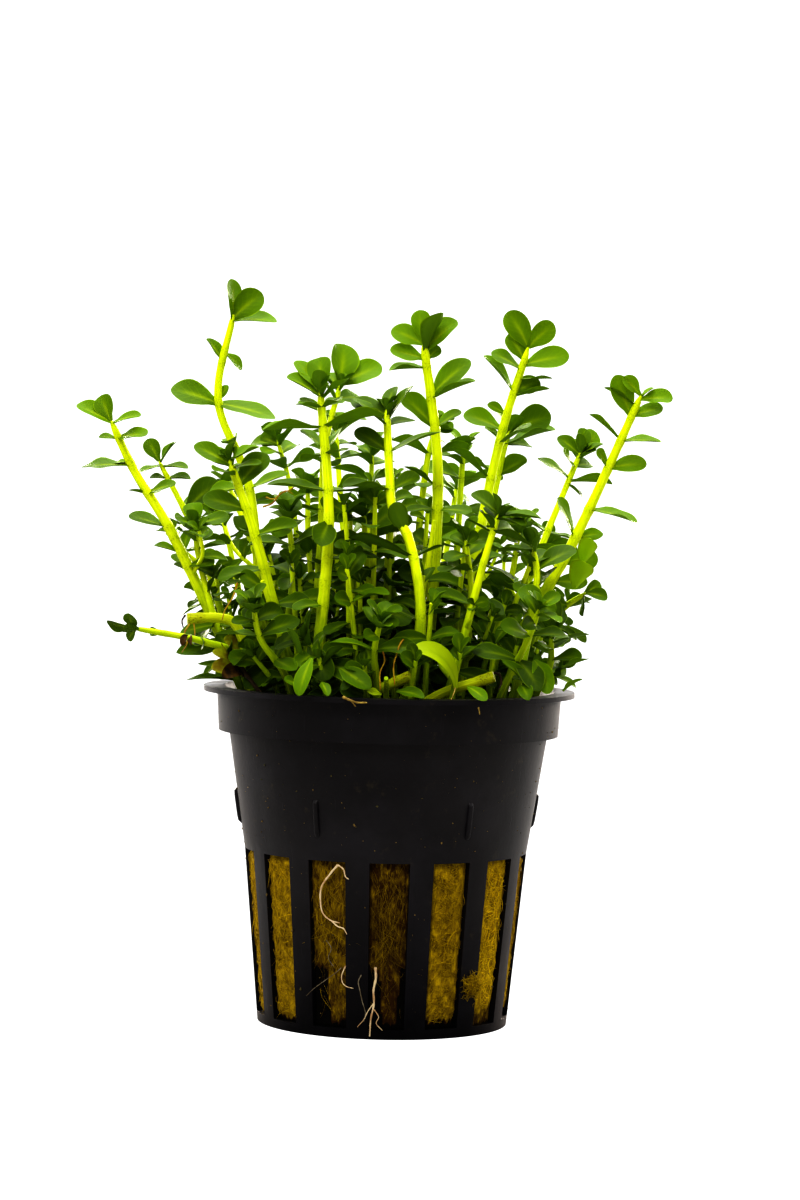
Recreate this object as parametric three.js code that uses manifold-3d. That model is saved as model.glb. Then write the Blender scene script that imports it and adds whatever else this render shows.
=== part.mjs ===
// Green rotala, an aquarium stem plant, growing from a rockwool plug in a black net pot.
// Millimetres, +Z up, origin at the centre of the pot's foot, the front of the pot facing -Y.
// Every shoot is one closed solid: a jointed stem with its leaves grown onto it. The pot is one
// moulding with slots in its wall and floor, and the plug is one block with a socket for each stem.
import * as THREE from "three";
import { mergeVertices } from "three/addons/utils/BufferGeometryUtils.js";
import Module from "manifold-3d";

const wasm = await Module();
wasm.setup();

// Driving dimensions of the pot
const POT = {
  height: 49.5,
  wall: 0.9,
  flangeRadius: 27.5,
  flangeThickness: 0.7,
  collarTopRadius: 25.5,
  collarRadius: 25.15,
  collarZ: 43,
  bodyTopRadius: 23.6,
  slotTopRadius: 20.9,
  footRadius: 18.5,
  floorThickness: 1,
};
const SLOTS = { count: 14, firstTurn: 2, width: 16, facets: 2, bottomZ: 1.4, topZ: 25.6 };
const LUGS = { count: 6, firstTurn: -27, width: 1.2, bottomZ: 28.7, topZ: 34.7, proud: 0.55 };
const FLOOR_SLOTS = { count: 6, width: 2.6, innerRadius: 5, outerRadius: 14 };

// Driving dimensions of the plug and of what grows from it
const GAP = 0.3;
const PLUG = { topZ: 44.4, edge: 1.2, facets: 16 };
const STEM_SIDES = 4;
const STEM_SPANS = 5;
const STEM_SAMPLES = 80;
const LEAF = {
  widthShare: 0.64,
  fold: 16,
  curl: 24,
  thickness: 0.45,
  shortestSolid: 4.9,
  shortestAtTip: 4.3,
  rootBelowTip: 0.8,
};
const HIDDEN = { topZ: 70, radius: 19 };
const CLEAR = { leaf: 1.25, stem: 0.75, rimIn: 22.4, rimOut: 29, rimZ: 51, plugZ: 45.8, plugRadius: 23 };

// Shoots, hand-placed. path: points the stem passes through, from the plug to the tip.
// radius: at the foot and at the tip. leaves: [mm below the tip, [turns in degrees], length,
// rise above square to the stem, how far the upper face turns to the front]. Turn 0 points to +X
// and 90 to +Y. A shoot without that list gets pairs that cross each other up the stem.
const SHOOTS = [
  {
    name: "shoot_left_outer",
    path: [
      [-16.5, -1.5, 40], [-24, -1.5, 54.6], [-32.4, -5, 71.7], [-37.9, -5.5, 80.5],
      [-41.6, -6, 88],
    ],
    radius: [1, 0.6],
    leaves: [
      [0, [90], 4.6, 74, 0], [0.2, [178], 5.6, 53, 30], [0.3, [-5], 4.6, -4, 15],
      [2.6, [-40], 5.6, -6, 25], [2.8, [182], 2.8, 33, 18], [6.6, [150], 2.8, 28, 0],
      [7, [180], 7, 28, 14], [11.8, [-35], 5.4, -8, 30], [11.8, [195], 2.8, 45, 0],
      [17.7, [182], 5.8, 46, 10], [19.6, [60], 6, 8, 0], [21.9, [182], 4.4, 45, 18],
      [24, [-10], 5, 5, 10], [30, [200, 20], 4.2, 0, 0],
    ],
  },
  {
    name: "shoot_tallest",
    path: [[-11, 3, 40], [-18.3, 4, 54.5], [-21.5, 5, 78.1], [-26.5, 4, 91.5], [-24.5, 3, 104.4]],
    radius: [0.85, 0.55],
    leaves: [
      [0.8, [180], 6.3, 84, 20], [0.7, [10], 5.8, 60, 70], [0.9, [0], 7, 17, 15],
      [7, [174], 4.2, 46, 32], [5.8, [16], 3.8, -21, 35], [13.5, [180], 7.4, 32, 55],
      [13.5, [0], 9, -18, 30], [13.2, [20], 3, 58, 60], [20, [90, -90], 5, 20, 0],
      [27, [0, 180], 6, 12, 20], [34, [80, -100], 6, 10, 0], [41, [0, 180], 5, 5, 0],
    ],
  },
  {
    name: "shoot_left_front",
    path: [[-9.5, -8.5, 40], [-14.8, -10, 53.8], [-19.4, -13, 70.5], [-23.8, -13, 82.7]],
    radius: [1.05, 0.6],
    leaves: [
      [0, [150], 4, 40, 20], [0, [0], 4.6, 8, 20], [0.8, [185], 5.8, 50, 50],
      [1.2, [-20], 4.6, -3, 10], [4, [8], 6.6, 36, 60], [7.6, [182], 7, 38, 40],
      [11.5, [-10], 6.4, 4, 30], [16.5, [180], 7, 6, 10], [22, [-15], 5.6, 0, 30],
      [27.5, [182], 8.8, 10, 0], [32.5, [-65], 6.4, -10, 40],
    ],
  },
  {
    name: "shoot_centre_left",
    path: [[-9, -12.5, 40], [-10.3, -13, 52.3], [-9.2, -14, 73.8], [-10.9, -12, 93]],
    radius: [1, 0.65],
    leaves: [
      [0, [148], 6, 58, 20], [0, [88], 5.6, 70, 0], [0.4, [-80], 3.6, 66, 0],
      [0.8, [200], 5.6, 36, 40], [1.2, [-25], 5, 34, 0], [2.4, [-135, -45], 4.6, 8, 15],
      [5.3, [178, 2], 8.6, 6, 0], [8.8, [142, 40], 5.6, 50, 0], [9.2, [-50, 130], 5, 2, 0],
      [14.6, [5, 176], 8.6, 14, 10], [19, [-105], 5.8, -30, 30], [24.4, [0], 7.4, 8, 15],
      [28, [75], 5.4, 10, 0], [31, [184], 5.2, 6, 20], [35, [-20], 6, 10, 20],
    ],
  },
  {
    name: "shoot_centre_front",
    path: [
      [-1, -12.5, 40], [3.6, -14.5, 53], [4.3, -15.5, 62], [2.5, -15, 71.5],
      [0, -13.5, 76], [-0.6, -12.2, 80.5], [-1.3, -10, 90.5],
    ],
    radius: [0.9, 0.6],
    leaves: [
      [0, [60], 4.6, 60, 0], [0.7, [170], 5.6, 30, 60], [1.6, [190], 6, 14, 40],
      [1.6, [-20], 6.6, 54, 40], [6.2, [180], 6, 40, 50], [6.2, [-5], 7.8, 24, 25],
      [11.9, [0], 4.6, 28, 50], [11.9, [182], 7.4, 4, 15], [18.9, [-85], 5, 58, 0],
      [22.6, [180], 9.4, 10, 0], [22.6, [30], 5.4, 12, 0], [31, [2], 5.6, 8, 0],
      [32, [174], 7.4, 26, 10],
    ],
  },
  {
    name: "shoot_centre_tall",
    path: [[4, -3, 40], [5.6, -2, 55.4], [6.4, -3, 81.2], [3.9, -4, 100.6]],
    radius: [1, 0.7],
    leaves: [
      [0, [100], 5.4, 74, 0], [0.2, [168], 5.2, 34, 60], [1.2, [12], 6.8, 40, 40],
      [1.4, [-38], 6.6, 60, 10], [2.4, [184], 5.2, 24, 50], [2.6, [20], 3, 40, 60],
      [3.6, [178], 5.8, 8, 0], [7.9, [2], 7.6, 40, 45], [8.2, [-16], 7, 18, 10],
      [12.6, [174], 7, 56, 40], [12.6, [4], 4.6, 28, 20], [21.3, [175], 5.6, 38, 0],
      [24.6, [205, -22], 5.2, 2, 20], [31, [110], 6, 10, 0],
    ],
  },
  {
    name: "shoot_right_tall",
    path: [[7, 3.5, 40], [9.8, 4, 55.2], [15.3, 5, 85.2], [19.5, 4, 100.6]],
    radius: [1.05, 0.55],
    leaves: [
      [0, [165], 6.4, 51, 75], [0, [25], 5.2, 62, 75], [2, [165], 4.4, 44, 50],
      [2.8, [0], 6.8, 36, 45], [3.4, [180], 5.2, 15, 20], [5, [10], 5, 22, 0],
      [6.9, [180], 6.9, 36, 15], [7, [20], 4.6, 45, 60], [7.6, [-5], 6, 30, 5],
      [10.6, [170], 3.2, 20, 60], [12.9, [178], 6, 14, 35], [15, [-38], 6.4, 40, 20],
      [20.5, [178], 7.4, 30, 0], [27.6, [20], 6, 12, 0], [34, [170], 6.4, 8, 0],
    ],
  },
  {
    name: "shoot_right_outer",
    path: [[13, -1.5, 40], [17.7, -2, 54.9], [26.8, -4, 72.5], [35.8, -6, 93.5]],
    radius: [1.05, 0.6],
    leaves: [
      [0, [178], 3.8, 28, 60], [0, [20], 2.2, 60, 0], [0.6, [0], 4.8, 31, 30],
      [1.4, [170], 5.6, 7, 0], [3.4, [-178], 6.2, 46, 78], [3.2, [-5], 4.8, 42, 45],
      [7, [180], 6.2, 21, 0], [7.2, [0], 6, 28, 12], [11.6, [-10], 5.8, 36, 50],
      [11.6, [200], 3.6, 40, 40], [18.2, [0], 7.6, 14, 10], [23, [-165], 6.4, 42, 30],
      [23, [12], 4.4, 40, 50], [27, [8], 5.2, 38, 70], [30.4, [5], 5.6, 30, 70],
      [36, [190], 5.6, 10, 20],
    ],
  },
  {
    name: "shoot_right_front_small",
    path: [[5.5, -12, 40], [9, -15, 51.5], [13.2, -16, 68.9], [15.2, -15, 75.8]],
    radius: [0.75, 0.5],
    leaves: [
      [0, [168], 5, 26, 45], [0, [-2], 6, 14, 20], [0.6, [-35], 4.8, 0, 20],
      [2.6, [-6], 6.6, -4, 0], [2.8, [150], 5, 14, 0], [7.6, [0], 5, -6, 0],
      [13.6, [180], 6, 6, 20], [19, [-100], 4.6, 10, 0], [23.6, [0], 6.6, -6, 30],
    ],
  },
  {
    name: "shoot_right_inner",
    path: [[13, 7, 40], [17.3, 8, 55.2], [21.8, 9, 69.1], [28, 10, 85.2]],
    radius: [0.7, 0.45],
    leaves: [
      [0, [60], 4.8, 60, 40], [0, [120], 4, 72, 0], [0.4, [180], 4.4, 25, 50],
      [0.4, [-15], 4.2, 48, 30], [4.2, [180], 6, 15, 20], [4.6, [0], 6.8, 24, 0],
      [5, [-30], 3.4, -15, 0], [13, [170, 20], 5.4, 10, 10], [20, [90, -80], 5.4, 8, 0],
      [27, [0, 180], 5.6, 5, 0],
    ],
  },
  {
    name: "shoot_right_front",
    path: [[14.5, -11, 40], [18.3, -13.6, 50.5], [20.8, -16, 65], [20.3, -15, 71.3]],
    radius: [0.85, 0.45],
    leaves: [
      [0, [100], 3.6, 70, 0], [0.4, [182], 5.4, 16, 20], [3.6, [10], 7, 36, 30],
      [6.2, [190], 4.4, 10, 20], [6.2, [0], 4.2, 58, 0], [8.2, [-62], 5.2, 0, 20],
      [13, [200, 15], 5, 8, 0], [19.6, [-115], 7, 34, 0],
    ],
  },
  {
    name: "shoot_left_second",
    path: [[-16, 7, 40], [-24, 9, 55.7], [-29.6, 10, 71], [-35.5, 9, 82.4]],
    radius: [0.65, 0.45],
    leaves: [
      [0, [90], 4, 76, 0], [0.2, [15], 3.8, 30, 0], [0.6, [-140], 4.2, 12, 20],
      [0.8, [-5], 4, -27, 0], [2.8, [0], 3.6, -24, 16], [2.8, [185], 2.8, 30, 16],
      [8.5, [0], 7.2, 20, 40], [11.6, [180], 6, 50, 0], [18, [90, -90], 5, 8, 0],
      [24, [0, 180], 5.2, 5, 0],
    ],
  },
  {
    name: "shoot_left_small",
    path: [[-18, -4.8, 40], [-25, -5.2, 57], [-28.4, -3.6, 68], [-29.1, -3.4, 73]],
    radius: [0.6, 0.45],
    leaves: [
      [0, [180, 0], 5, 14, 40], [0, [92], 4.2, 40, 0], [0.4, [-88], 3.8, 2, 0],
      [3.4, [192, -12], 4.2, 2, 10], [6.6, [180, -32], 3.8, 4, 10],
    ],
  },
  {
    name: "shoot_left_thin",
    path: [[-13, 11.5, 40], [-21, 12, 55.6], [-25.5, 15, 72], [-27.3, 15, 76.4]],
    radius: [0.6, 0.4],
    leaves: [
      [0, [175], 4.8, 26, 20], [0, [10], 4.4, 30, 20], [0.8, [-80], 4, 12, 0],
      [5.8, [20, 200], 5, 8, 0], [12.4, [110, -70], 5, 5, 0],
    ],
  },
  {
    name: "shoot_right_behind",
    path: [[9, 10, 40], [11.3, 11, 56.4], [16.1, 12, 83.6], [17.5, 12, 88.3]],
    radius: [0.8, 0.5],
    leaves: [
      [0, [5], 6.2, 44, 70], [0.2, [150], 4.6, 40, 0], [2.3, [0], 8.4, 38, 0],
      [7.1, [-10], 4.8, 48, 60], [7.1, [150], 5, 20, 0], [14, [60, 240], 5.4, 10, 0],
      [22, [0, 180], 6, 8, 0], [30, [90], 6, 8, 0],
    ],
  },
  {
    name: "shoot_right_low",
    path: [[16.5, 2.5, 40], [20.8, 3, 55.5], [25, 0.4, 61.4], [28.6, -3, 64.4]],
    radius: [0.6, 0.45],
    leaves: [
      [0, [0], 3.6, 30, 10], [0.4, [-12], 4, -50, 0], [0.4, [80], 3.4, 30, 0],
      [4, [190], 6, 4, 30], [5, [-80], 5, -4, 20],
    ],
  },
  {
    name: "shoot_right_rim",
    path: [[17.6, -5.4, 40], [21.8, -6.4, 50.1], [23.5, -7.4, 54], [23.4, -8, 58.6]],
    radius: [0.6, 0.45],
    leaves: [
      [0, [-92], 6, 84, 0], [0.6, [190], 4.6, 30, 20], [1.4, [0], 5.6, 14, 0],
      [4, [-30], 5, 20, 20], [5.4, [60], 5, 10, 0],
    ],
  },
  {
    name: "shoot_left_low",
    path: [[-16, -11.4, 40], [-21.6, -9.8, 53.3], [-27.1, -12, 56.3], [-37, -14, 58.1]],
    radius: [0.65, 0.45],
    leaves: [
      [0, [0], 3.4, 28, 70], [0, [95], 4, 72, 60], [0.3, [180], 2.8, 20, 60], [0.8, [-95], 3.4, 50, 30],
      [4.2, [90], 3, 40, 0], [10.4, [-80, 110], 3.6, 20, 20], [15, [80, -60], 4.4, 10, 0],
    ],
  },
  {
    name: "shoot_front_low",
    path: [[-5.4, -15, 40], [-5.9, -17, 49.8], [-8.5, -18, 53.2], [-12, -19, 57.2]],
    radius: [0.6, 0.45],
    leaves: [
      [0, [178], 4.6, 24, 20], [0, [20], 4.4, 40, 0], [0.8, [-120], 6.4, -52, 30],
      [4.6, [-40], 6.4, -34, 30], [5, [150], 4.4, 10, 0],
    ],
  },
  {
    name: "shoot_beside_centre_left",
    path: [[-6, 0, 40], [-10.6, 0, 58], [-10.7, 1, 74], [-10.4, 2, 85], [-8.4, 3, 94.4]],
    radius: [0.6, 0.45],
    leaves: [
      [0, [22], 7, 40, 45], [0, [115], 6.6, 72, 0], [0.6, [170], 4.6, 30, 0],
      [5, [0, 180], 5.2, 14, 20], [12, [80, -95], 5.4, 10, 0], [19, [5, 185], 6, 8, 0],
      [27, [95, -85], 5.8, 5, 0],
    ],
  },
  {
    name: "shoot_behind_centre_tall",
    path: [[1.5, 7, 40], [2.6, 8, 56.3], [4.7, 9, 82], [6.4, 9, 88.8]],
    radius: [0.7, 0.45],
    turn: 15,
  },
  {
    name: "shoot_back_thin_right",
    path: [[6.5, 13, 40], [10, 14.5, 56.2], [9.8, 15.5, 68.1], [10.4, 16, 85.4]],
    radius: [0.65, 0.45],
    turn: -10,
  },
  {
    name: "shoot_back_centre",
    path: [[-2.5, 9.6, 40], [-3.4, 10.6, 56.1], [-3.5, 12, 71.2], [-3.5, 14, 85]],
    radius: [0.6, 0.4],
    turn: 35,
  },
  {
    name: "shoot_back_left_small",
    path: [[-9, 12, 40], [-13, 12.4, 58], [-15.4, 14, 77], [-18, 15, 86.2]],
    radius: [0.55, 0.35],
    turn: 60,
  },
  { name: "shoot_mid_left", path: [[-13.4, 0, 40], [-15.4, -1.6, 54], [-14.6, -4, 66], [-15.4, -5, 75]] },
  { name: "shoot_mid_front", path: [[1.2, -8, 40], [0.2, -7.6, 55], [-3.4, -6, 66], [-4.4, -5, 76]] },
  {
    name: "shoot_mid_right",
    path: [[9.6, -6.4, 40], [11, -8, 55], [11.6, -9, 64], [10.6, -10, 72]],
    turn: 40,
  },
  { name: "shoot_mid_far_right", path: [[14.6, 2.4, 40], [14.6, 0.6, 55], [17.6, -1, 66], [18.6, -3, 74]] },
  {
    name: "shoot_mid_back",
    path: [[-7.4, 6, 40], [-9.6, 6.4, 56], [-12.4, 7.4, 68], [-13, 8.4, 79]],
    turn: 20,
  },
  {
    name: "shoot_front_left_corner",
    path: [[-12.4, -12.6, 40], [-14.6, -15, 51], [-18.4, -19, 57], [-19.6, -20.6, 62]],
  },
  {
    name: "shoot_front_right_corner",
    path: [[12.6, -13.4, 40], [16.6, -15.8, 51], [19.6, -20.4, 58], [21, -23, 62.6]],
    turn: 30,
  },
  {
    name: "shoot_front_centre_low",
    path: [[-1.4, -17.4, 40], [-1.8, -19.8, 51], [-2.2, -22.4, 56], [-1.4, -24, 60.4]],
  },
  {
    name: "shoot_back_left_far",
    path: [[-12, 15, 40], [-17, 19.4, 56], [-22, 26, 70], [-26, 30, 79]],
    turn: 10,
  },
  {
    name: "shoot_back_left_tall",
    path: [[-4.6, 16.6, 40], [-5.6, 20, 57], [-8, 27, 74], [-9.4, 31, 88]],
    turn: 50,
  },
  {
    name: "shoot_back_right_tall",
    path: [[3.6, 17.6, 40], [6, 22, 58], [8.4, 28, 70], [9.8, 31, 80]],
    turn: 25,
  },
  {
    name: "shoot_back_right_far",
    path: [[11.6, 14, 40], [16, 19, 54], [20.6, 25, 64], [24, 28.6, 71]],
    turn: 70,
  },
  {
    name: "shoot_back_low_left",
    path: [[-14.6, 13.6, 40], [-16.8, 15.4, 50], [-23, 18.6, 56.6], [-28.6, 21.6, 62.4]],
    turn: 35,
  },
  {
    name: "shoot_back_low_right",
    path: [[17, 8.6, 40], [20.2, 11.4, 52], [23.6, 14.6, 57.4], [27, 17.8, 62.2]],
    turn: 15,
  },
  {
    name: "shoot_back_low",
    path: [[-1, 18.6, 40], [-1.6, 22, 53], [-2.6, 28.4, 58.4], [-2, 33, 63.4]],
    turn: 45,
  },
];
const PLAIN_RADIUS = [0.65, 0.42];

// Cut stem ends, left from the cuttings: no leaves
const CUT_ENDS = [
  {
    name: "cut_stem_left",
    path: [[-19, -8.8, 40], [-20.4, -7.8, 52], [-22.4, -8.4, 58.4], [-25, -8.9, 59.7], [-29.6, -9.8, 59.5]],
  },
  {
    name: "cut_stem_centre",
    path: [[-6.6, -18, 40], [-5.4, -18.2, 46], [-2.4, -18, 49.7], [3, -19.4, 52.4]],
  },
  {
    name: "cut_stem_right",
    path: [[1.6, -14.8, 40], [3.4, -16.4, 46], [7, -17.6, 49.6], [15, -18.6, 52.6]],
  },
];
const CUT_RADIUS = [0.72, 0.72];

// Random numbers that any language repeats exactly
const DICE = { multiplier: 1664525, increment: 1013904223, modulus: 4294967296, seedStep: 7919 };

class Dice {
  constructor(seed) {
    this.state = seed * DICE.seedStep;
  }
  between(low, high) {
    this.state = (this.state * DICE.multiplier + DICE.increment) % DICE.modulus;
    return low + ((high - low) * this.state) / DICE.modulus;
  }
}

// A stem as evenly named samples of a smooth curve, with the length up to each
function stemOf(shoot) {
  const points = shoot.path.map((p) => new THREE.Vector3(...p));
  const curve = new THREE.CatmullRomCurve3(points, false, "catmullrom", 0.5);
  const samples = curve.getPoints(STEM_SAMPLES);
  const lengths = [0];
  for (let i = 1; i < samples.length; i++) {
    lengths.push(lengths[i - 1] + samples[i].distanceTo(samples[i - 1]));
  }
  return { samples, lengths, total: lengths[STEM_SAMPLES], radius: shoot.radius ?? PLAIN_RADIUS };
}

// Point, direction and radius of a stem at a length from its foot
function stationOf(stem, length) {
  let i = 1;
  while (i < STEM_SAMPLES && stem.lengths[i] < length) i++;
  const span = stem.lengths[i] - stem.lengths[i - 1];
  const share = Math.min(1, Math.max(0, (length - stem.lengths[i - 1]) / span));
  const point = stem.samples[i - 1].clone().lerp(stem.samples[i], share);
  const along = stem.samples[i].clone().sub(stem.samples[i - 1]).normalize();
  const [foot, tip] = stem.radius;
  return { point, along, radius: foot + ((tip - foot) * length) / stem.total };
}

// Leaf pairs of a shoot that has no hand-made list, closer together and steeper towards the tip
function plainLeaves(shoot, stem) {
  const rows = [];
  const steps = [0, 1, 4.6, 9.4, 15];
  const lengths = [3.8, 5.4, 6.4, 7, 6.8];
  const rises = [62, 34, 20, 12, 6];
  steps.forEach((below, k) => {
    const turn = (shoot.turn ?? 0) + 90 * k;
    if (stem.total - below > 14) rows.push([below, [turn, turn + 180], lengths[k], rises[k], 0]);
  });
  return rows;
}

// A leaf's own frame: out from the stem, up from its upper face, and across
function leafOf(station, turn, length, rise, face, curl) {
  const heading = new THREE.Vector3(Math.cos(rad(turn)), Math.sin(rad(turn)), 0);
  const out = heading.addScaledVector(station.along, -heading.dot(station.along)).normalize();
  const across = out.clone().cross(station.along);
  const front = across.y > 0 ? -1 : 1;
  return { origin: station.point, out, up: station.along, across, length, rise, curl, roll: front * face };
}

// Where a leaf passes at a share of its length: side from -1 to 1 across it, lift above its face
function leafPoint(leaf, share, side, lift) {
  const rise = rad(leaf.rise);
  const curl = rad(leaf.curl);
  const bent = rise - curl * share;
  const reach = (leaf.length * (Math.sin(rise) - Math.sin(bent))) / curl;
  const height = (leaf.length * (Math.cos(bent) - Math.cos(rise))) / curl;
  const half = (leaf.length * LEAF.widthShare) / 2;
  const w = side * half;
  const n = lift + Math.abs(w) * Math.tan(rad(LEAF.fold));
  const roll = rad(leaf.roll);
  const sideways = w * Math.cos(roll) + n * Math.sin(roll);
  const upward = n * Math.cos(roll) - w * Math.sin(roll);
  return leaf.origin
    .clone()
    .addScaledVector(leaf.out, reach - upward * Math.sin(bent))
    .addScaledVector(leaf.up, height + upward * Math.cos(bent))
    .addScaledVector(leaf.across, sideways);
}

const rad = (degrees) => (degrees * Math.PI) / 180;

// Points that stand for a leaf when neighbours are kept apart
const PROBES = [[0.35, 0], [0.65, 0], [0.97, 0], [0.5, 0.9], [0.5, -0.9], [0.8, 0.75], [0.8, -0.75]];

function probesOf(leaf) {
  return PROBES.map(([share, side]) => leafPoint(leaf, share, side, 0));
}

// True if a leaf's points keep clear of the pot, the plug, other stems and other shoots' leaves
function isClear(points, owner, stems, placed) {
  for (const p of points) {
    const radial = Math.hypot(p.x, p.y);
    if (p.z < CLEAR.rimZ && radial > CLEAR.rimIn && radial < CLEAR.rimOut) return false;
    if (p.z < CLEAR.plugZ && radial < CLEAR.plugRadius) return false;
    for (const [k, stem] of stems.entries()) {
      if (k === owner) continue;
      const room = stem.radius[0] + CLEAR.stem;
      if (stem.samples.some((s) => s.distanceTo(p) < room)) return false;
    }
  }
  return !placed.some(
    (other) =>
      other.owner !== owner &&
      other.points.some((q) => points.some((p) => p.distanceTo(q) < CLEAR.leaf)),
  );
}

// Turns and rises that a leaf tries, in this order, until it is clear
const TRIES = [
  [0, 0], [16, 4], [-16, 4], [30, -8], [-30, -8],
  [0, 22], [46, 10], [-46, 10], [64, 0], [-64, 0],
];

// Every leaf of every shoot, hand-placed shoots first
function growLeaves(stems) {
  const placed = [];
  SHOOTS.forEach((shoot, owner) => {
    const dice = new Dice(owner + 1);
    const stem = stems[owner];
    const rows = shoot.leaves ?? plainLeaves(shoot, stem);
    const loose = shoot.leaves ? 3 : 12;
    for (const [below, turns, length, rise, face] of rows)
      for (const turn of turns) {
        const station = stationOf(stem, stem.total - below);
        const swing = dice.between(-loose, loose);
        const tilt = dice.between(-loose, loose) / 2;
        const size = length * dice.between(0.94, 1.06);
        const tip = LEAF.curl * dice.between(0.5, 1.5);
        const roll = face + dice.between(-loose, loose);
        for (const [aside, higher] of TRIES) {
          const leaf = leafOf(station, turn + swing + aside, size, rise + tilt + higher, roll, tip);
          const points = probesOf(leaf);
          if (!isClear(points, owner, stems, placed)) continue;
          placed.push({ owner, leaf, points, below });
          break;
        }
      }
  });
  return placed;
}

// Solids

// A three.js geometry as a manifold solid, and back
function solidOf(geometry) {
  const bare = geometry.clone();
  bare.deleteAttribute("normal");
  bare.deleteAttribute("uv");
  const merged = mergeVertices(bare, 1e-4);
  const vertProperties = merged.attributes.position.array;
  return new wasm.Manifold(
    new wasm.Mesh({ numProp: 3, vertProperties, triVerts: new Uint32Array(merged.index.array) }),
  );
}

function geometryOf(solid) {
  const mesh = solid.getMesh();
  const geometry = new THREE.BufferGeometry();
  geometry.setAttribute("position", new THREE.BufferAttribute(new Float32Array(mesh.vertProperties), 3));
  geometry.setIndex(new THREE.BufferAttribute(new Uint32Array(mesh.triVerts), 1));
  geometry.computeVertexNormals();
  return geometry;
}

function meshGeometry(vertices, triangles) {
  const geometry = new THREE.BufferGeometry();
  const numbers = vertices.flatMap((v) => [v.x, v.y, v.z]);
  geometry.setAttribute("position", new THREE.Float32BufferAttribute(numbers, 3));
  geometry.setIndex(triangles.flat());
  return geometry;
}

// A tapered tube through stations of a stem, closed at both ends, grown outwards by extra
function tubeSolid(stations, extra) {
  const vertices = [];
  for (const { point, along, radius } of stations) {
    const sideways = new THREE.Vector3(0, 1, 0).cross(along).normalize();
    const other = along.clone().cross(sideways);
    for (let k = 0; k < STEM_SIDES; k++) {
      const a = (2 * Math.PI * (k + 0.5)) / STEM_SIDES;
      vertices.push(
        point
          .clone()
          .addScaledVector(sideways, (radius + extra) * Math.cos(a))
          .addScaledVector(other, (radius + extra) * Math.sin(a)),
      );
    }
  }
  const triangles = [];
  const last = (stations.length - 1) * STEM_SIDES;
  for (let ring = 0; ring < stations.length - 1; ring++)
    for (let k = 0; k < STEM_SIDES; k++) {
      const a = ring * STEM_SIDES + k;
      const b = ring * STEM_SIDES + ((k + 1) % STEM_SIDES);
      triangles.push([a, b, b + STEM_SIDES], [a, b + STEM_SIDES, a + STEM_SIDES]);
    }
  for (let k = 1; k < STEM_SIDES - 1; k++) triangles.push([0, k + 1, k], [last, last + k, last + k + 1]);
  return solidOf(meshGeometry(vertices, triangles));
}

// The stem's solid has straight spans between a few stations
function spansOf(stem) {
  const stations = [];
  for (let i = 0; i <= STEM_SPANS; i++) stations.push(stationOf(stem, (stem.total * i) / STEM_SPANS));
  return stations;
}

// The middle of those straight spans at a length from the foot, where a leaf's solid is rooted
function spanPoint(stem, length) {
  const stations = spansOf(stem);
  const place = Math.min(STEM_SPANS - 0.01, (length * STEM_SPANS) / stem.total);
  const low = Math.floor(place);
  return stations[low].point.clone().lerp(stations[low + 1].point, place - low);
}

// The hole in the plug that a stem's foot stands in
function socketSolid(stem) {
  const stations = spansOf(stem);
  const above = stations.findIndex(({ point }) => point.z > PLUG.topZ + 1);
  const [foot, second] = stations;
  if (above === 1) foot.along = second.along = second.point.clone().sub(foot.point).normalize();
  foot.point.addScaledVector(foot.along, -GAP);
  return tubeSolid(stations.slice(0, above + 1), GAP);
}

// A leaf as a thin solid: a six-sided blade with a ridge along its upper face
function leafSolid(leaf) {
  const vertices = [
    leafPoint(leaf, 0, 0, 0),
    leafPoint(leaf, 0.52, -1.2, 0.1),
    leafPoint(leaf, 1, 0, 0),
    leafPoint(leaf, 0.52, 1.2, 0.1),
    leafPoint(leaf, 0.52, 0, LEAF.thickness),
  ];
  const triangles = [[0, 1, 4], [1, 2, 4], [2, 3, 4], [3, 0, 4], [1, 0, 3], [2, 1, 3]];
  const solid = solidOf(meshGeometry(vertices, triangles));
  if (solid.volume() > 0) return solid;
  const turned = triangles.map(([a, b, c]) => [a, c, b]);
  return solidOf(meshGeometry(vertices, turned));
}

function overlaps(a, b) {
  const p = a.boundingBox();
  const q = b.boundingBox();
  for (let k = 0; k < 3; k++) if (p.min[k] > q.max[k] || q.min[k] > p.max[k]) return false;
  return a.intersect(b).volume() > 0;
}

// Direction on the pot: turn 0 faces the front, -Y, and turns grow towards +X
function potTurn(object, turn) {
  return object.rotateZ(rad(turn));
}

function lathe(profile, facets) {
  const geometry = new THREE.LatheGeometry(profile.map(([r, z]) => new THREE.Vector2(r, z)), facets);
  return solidOf(geometry.rotateX(Math.PI / 2));
}

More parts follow.
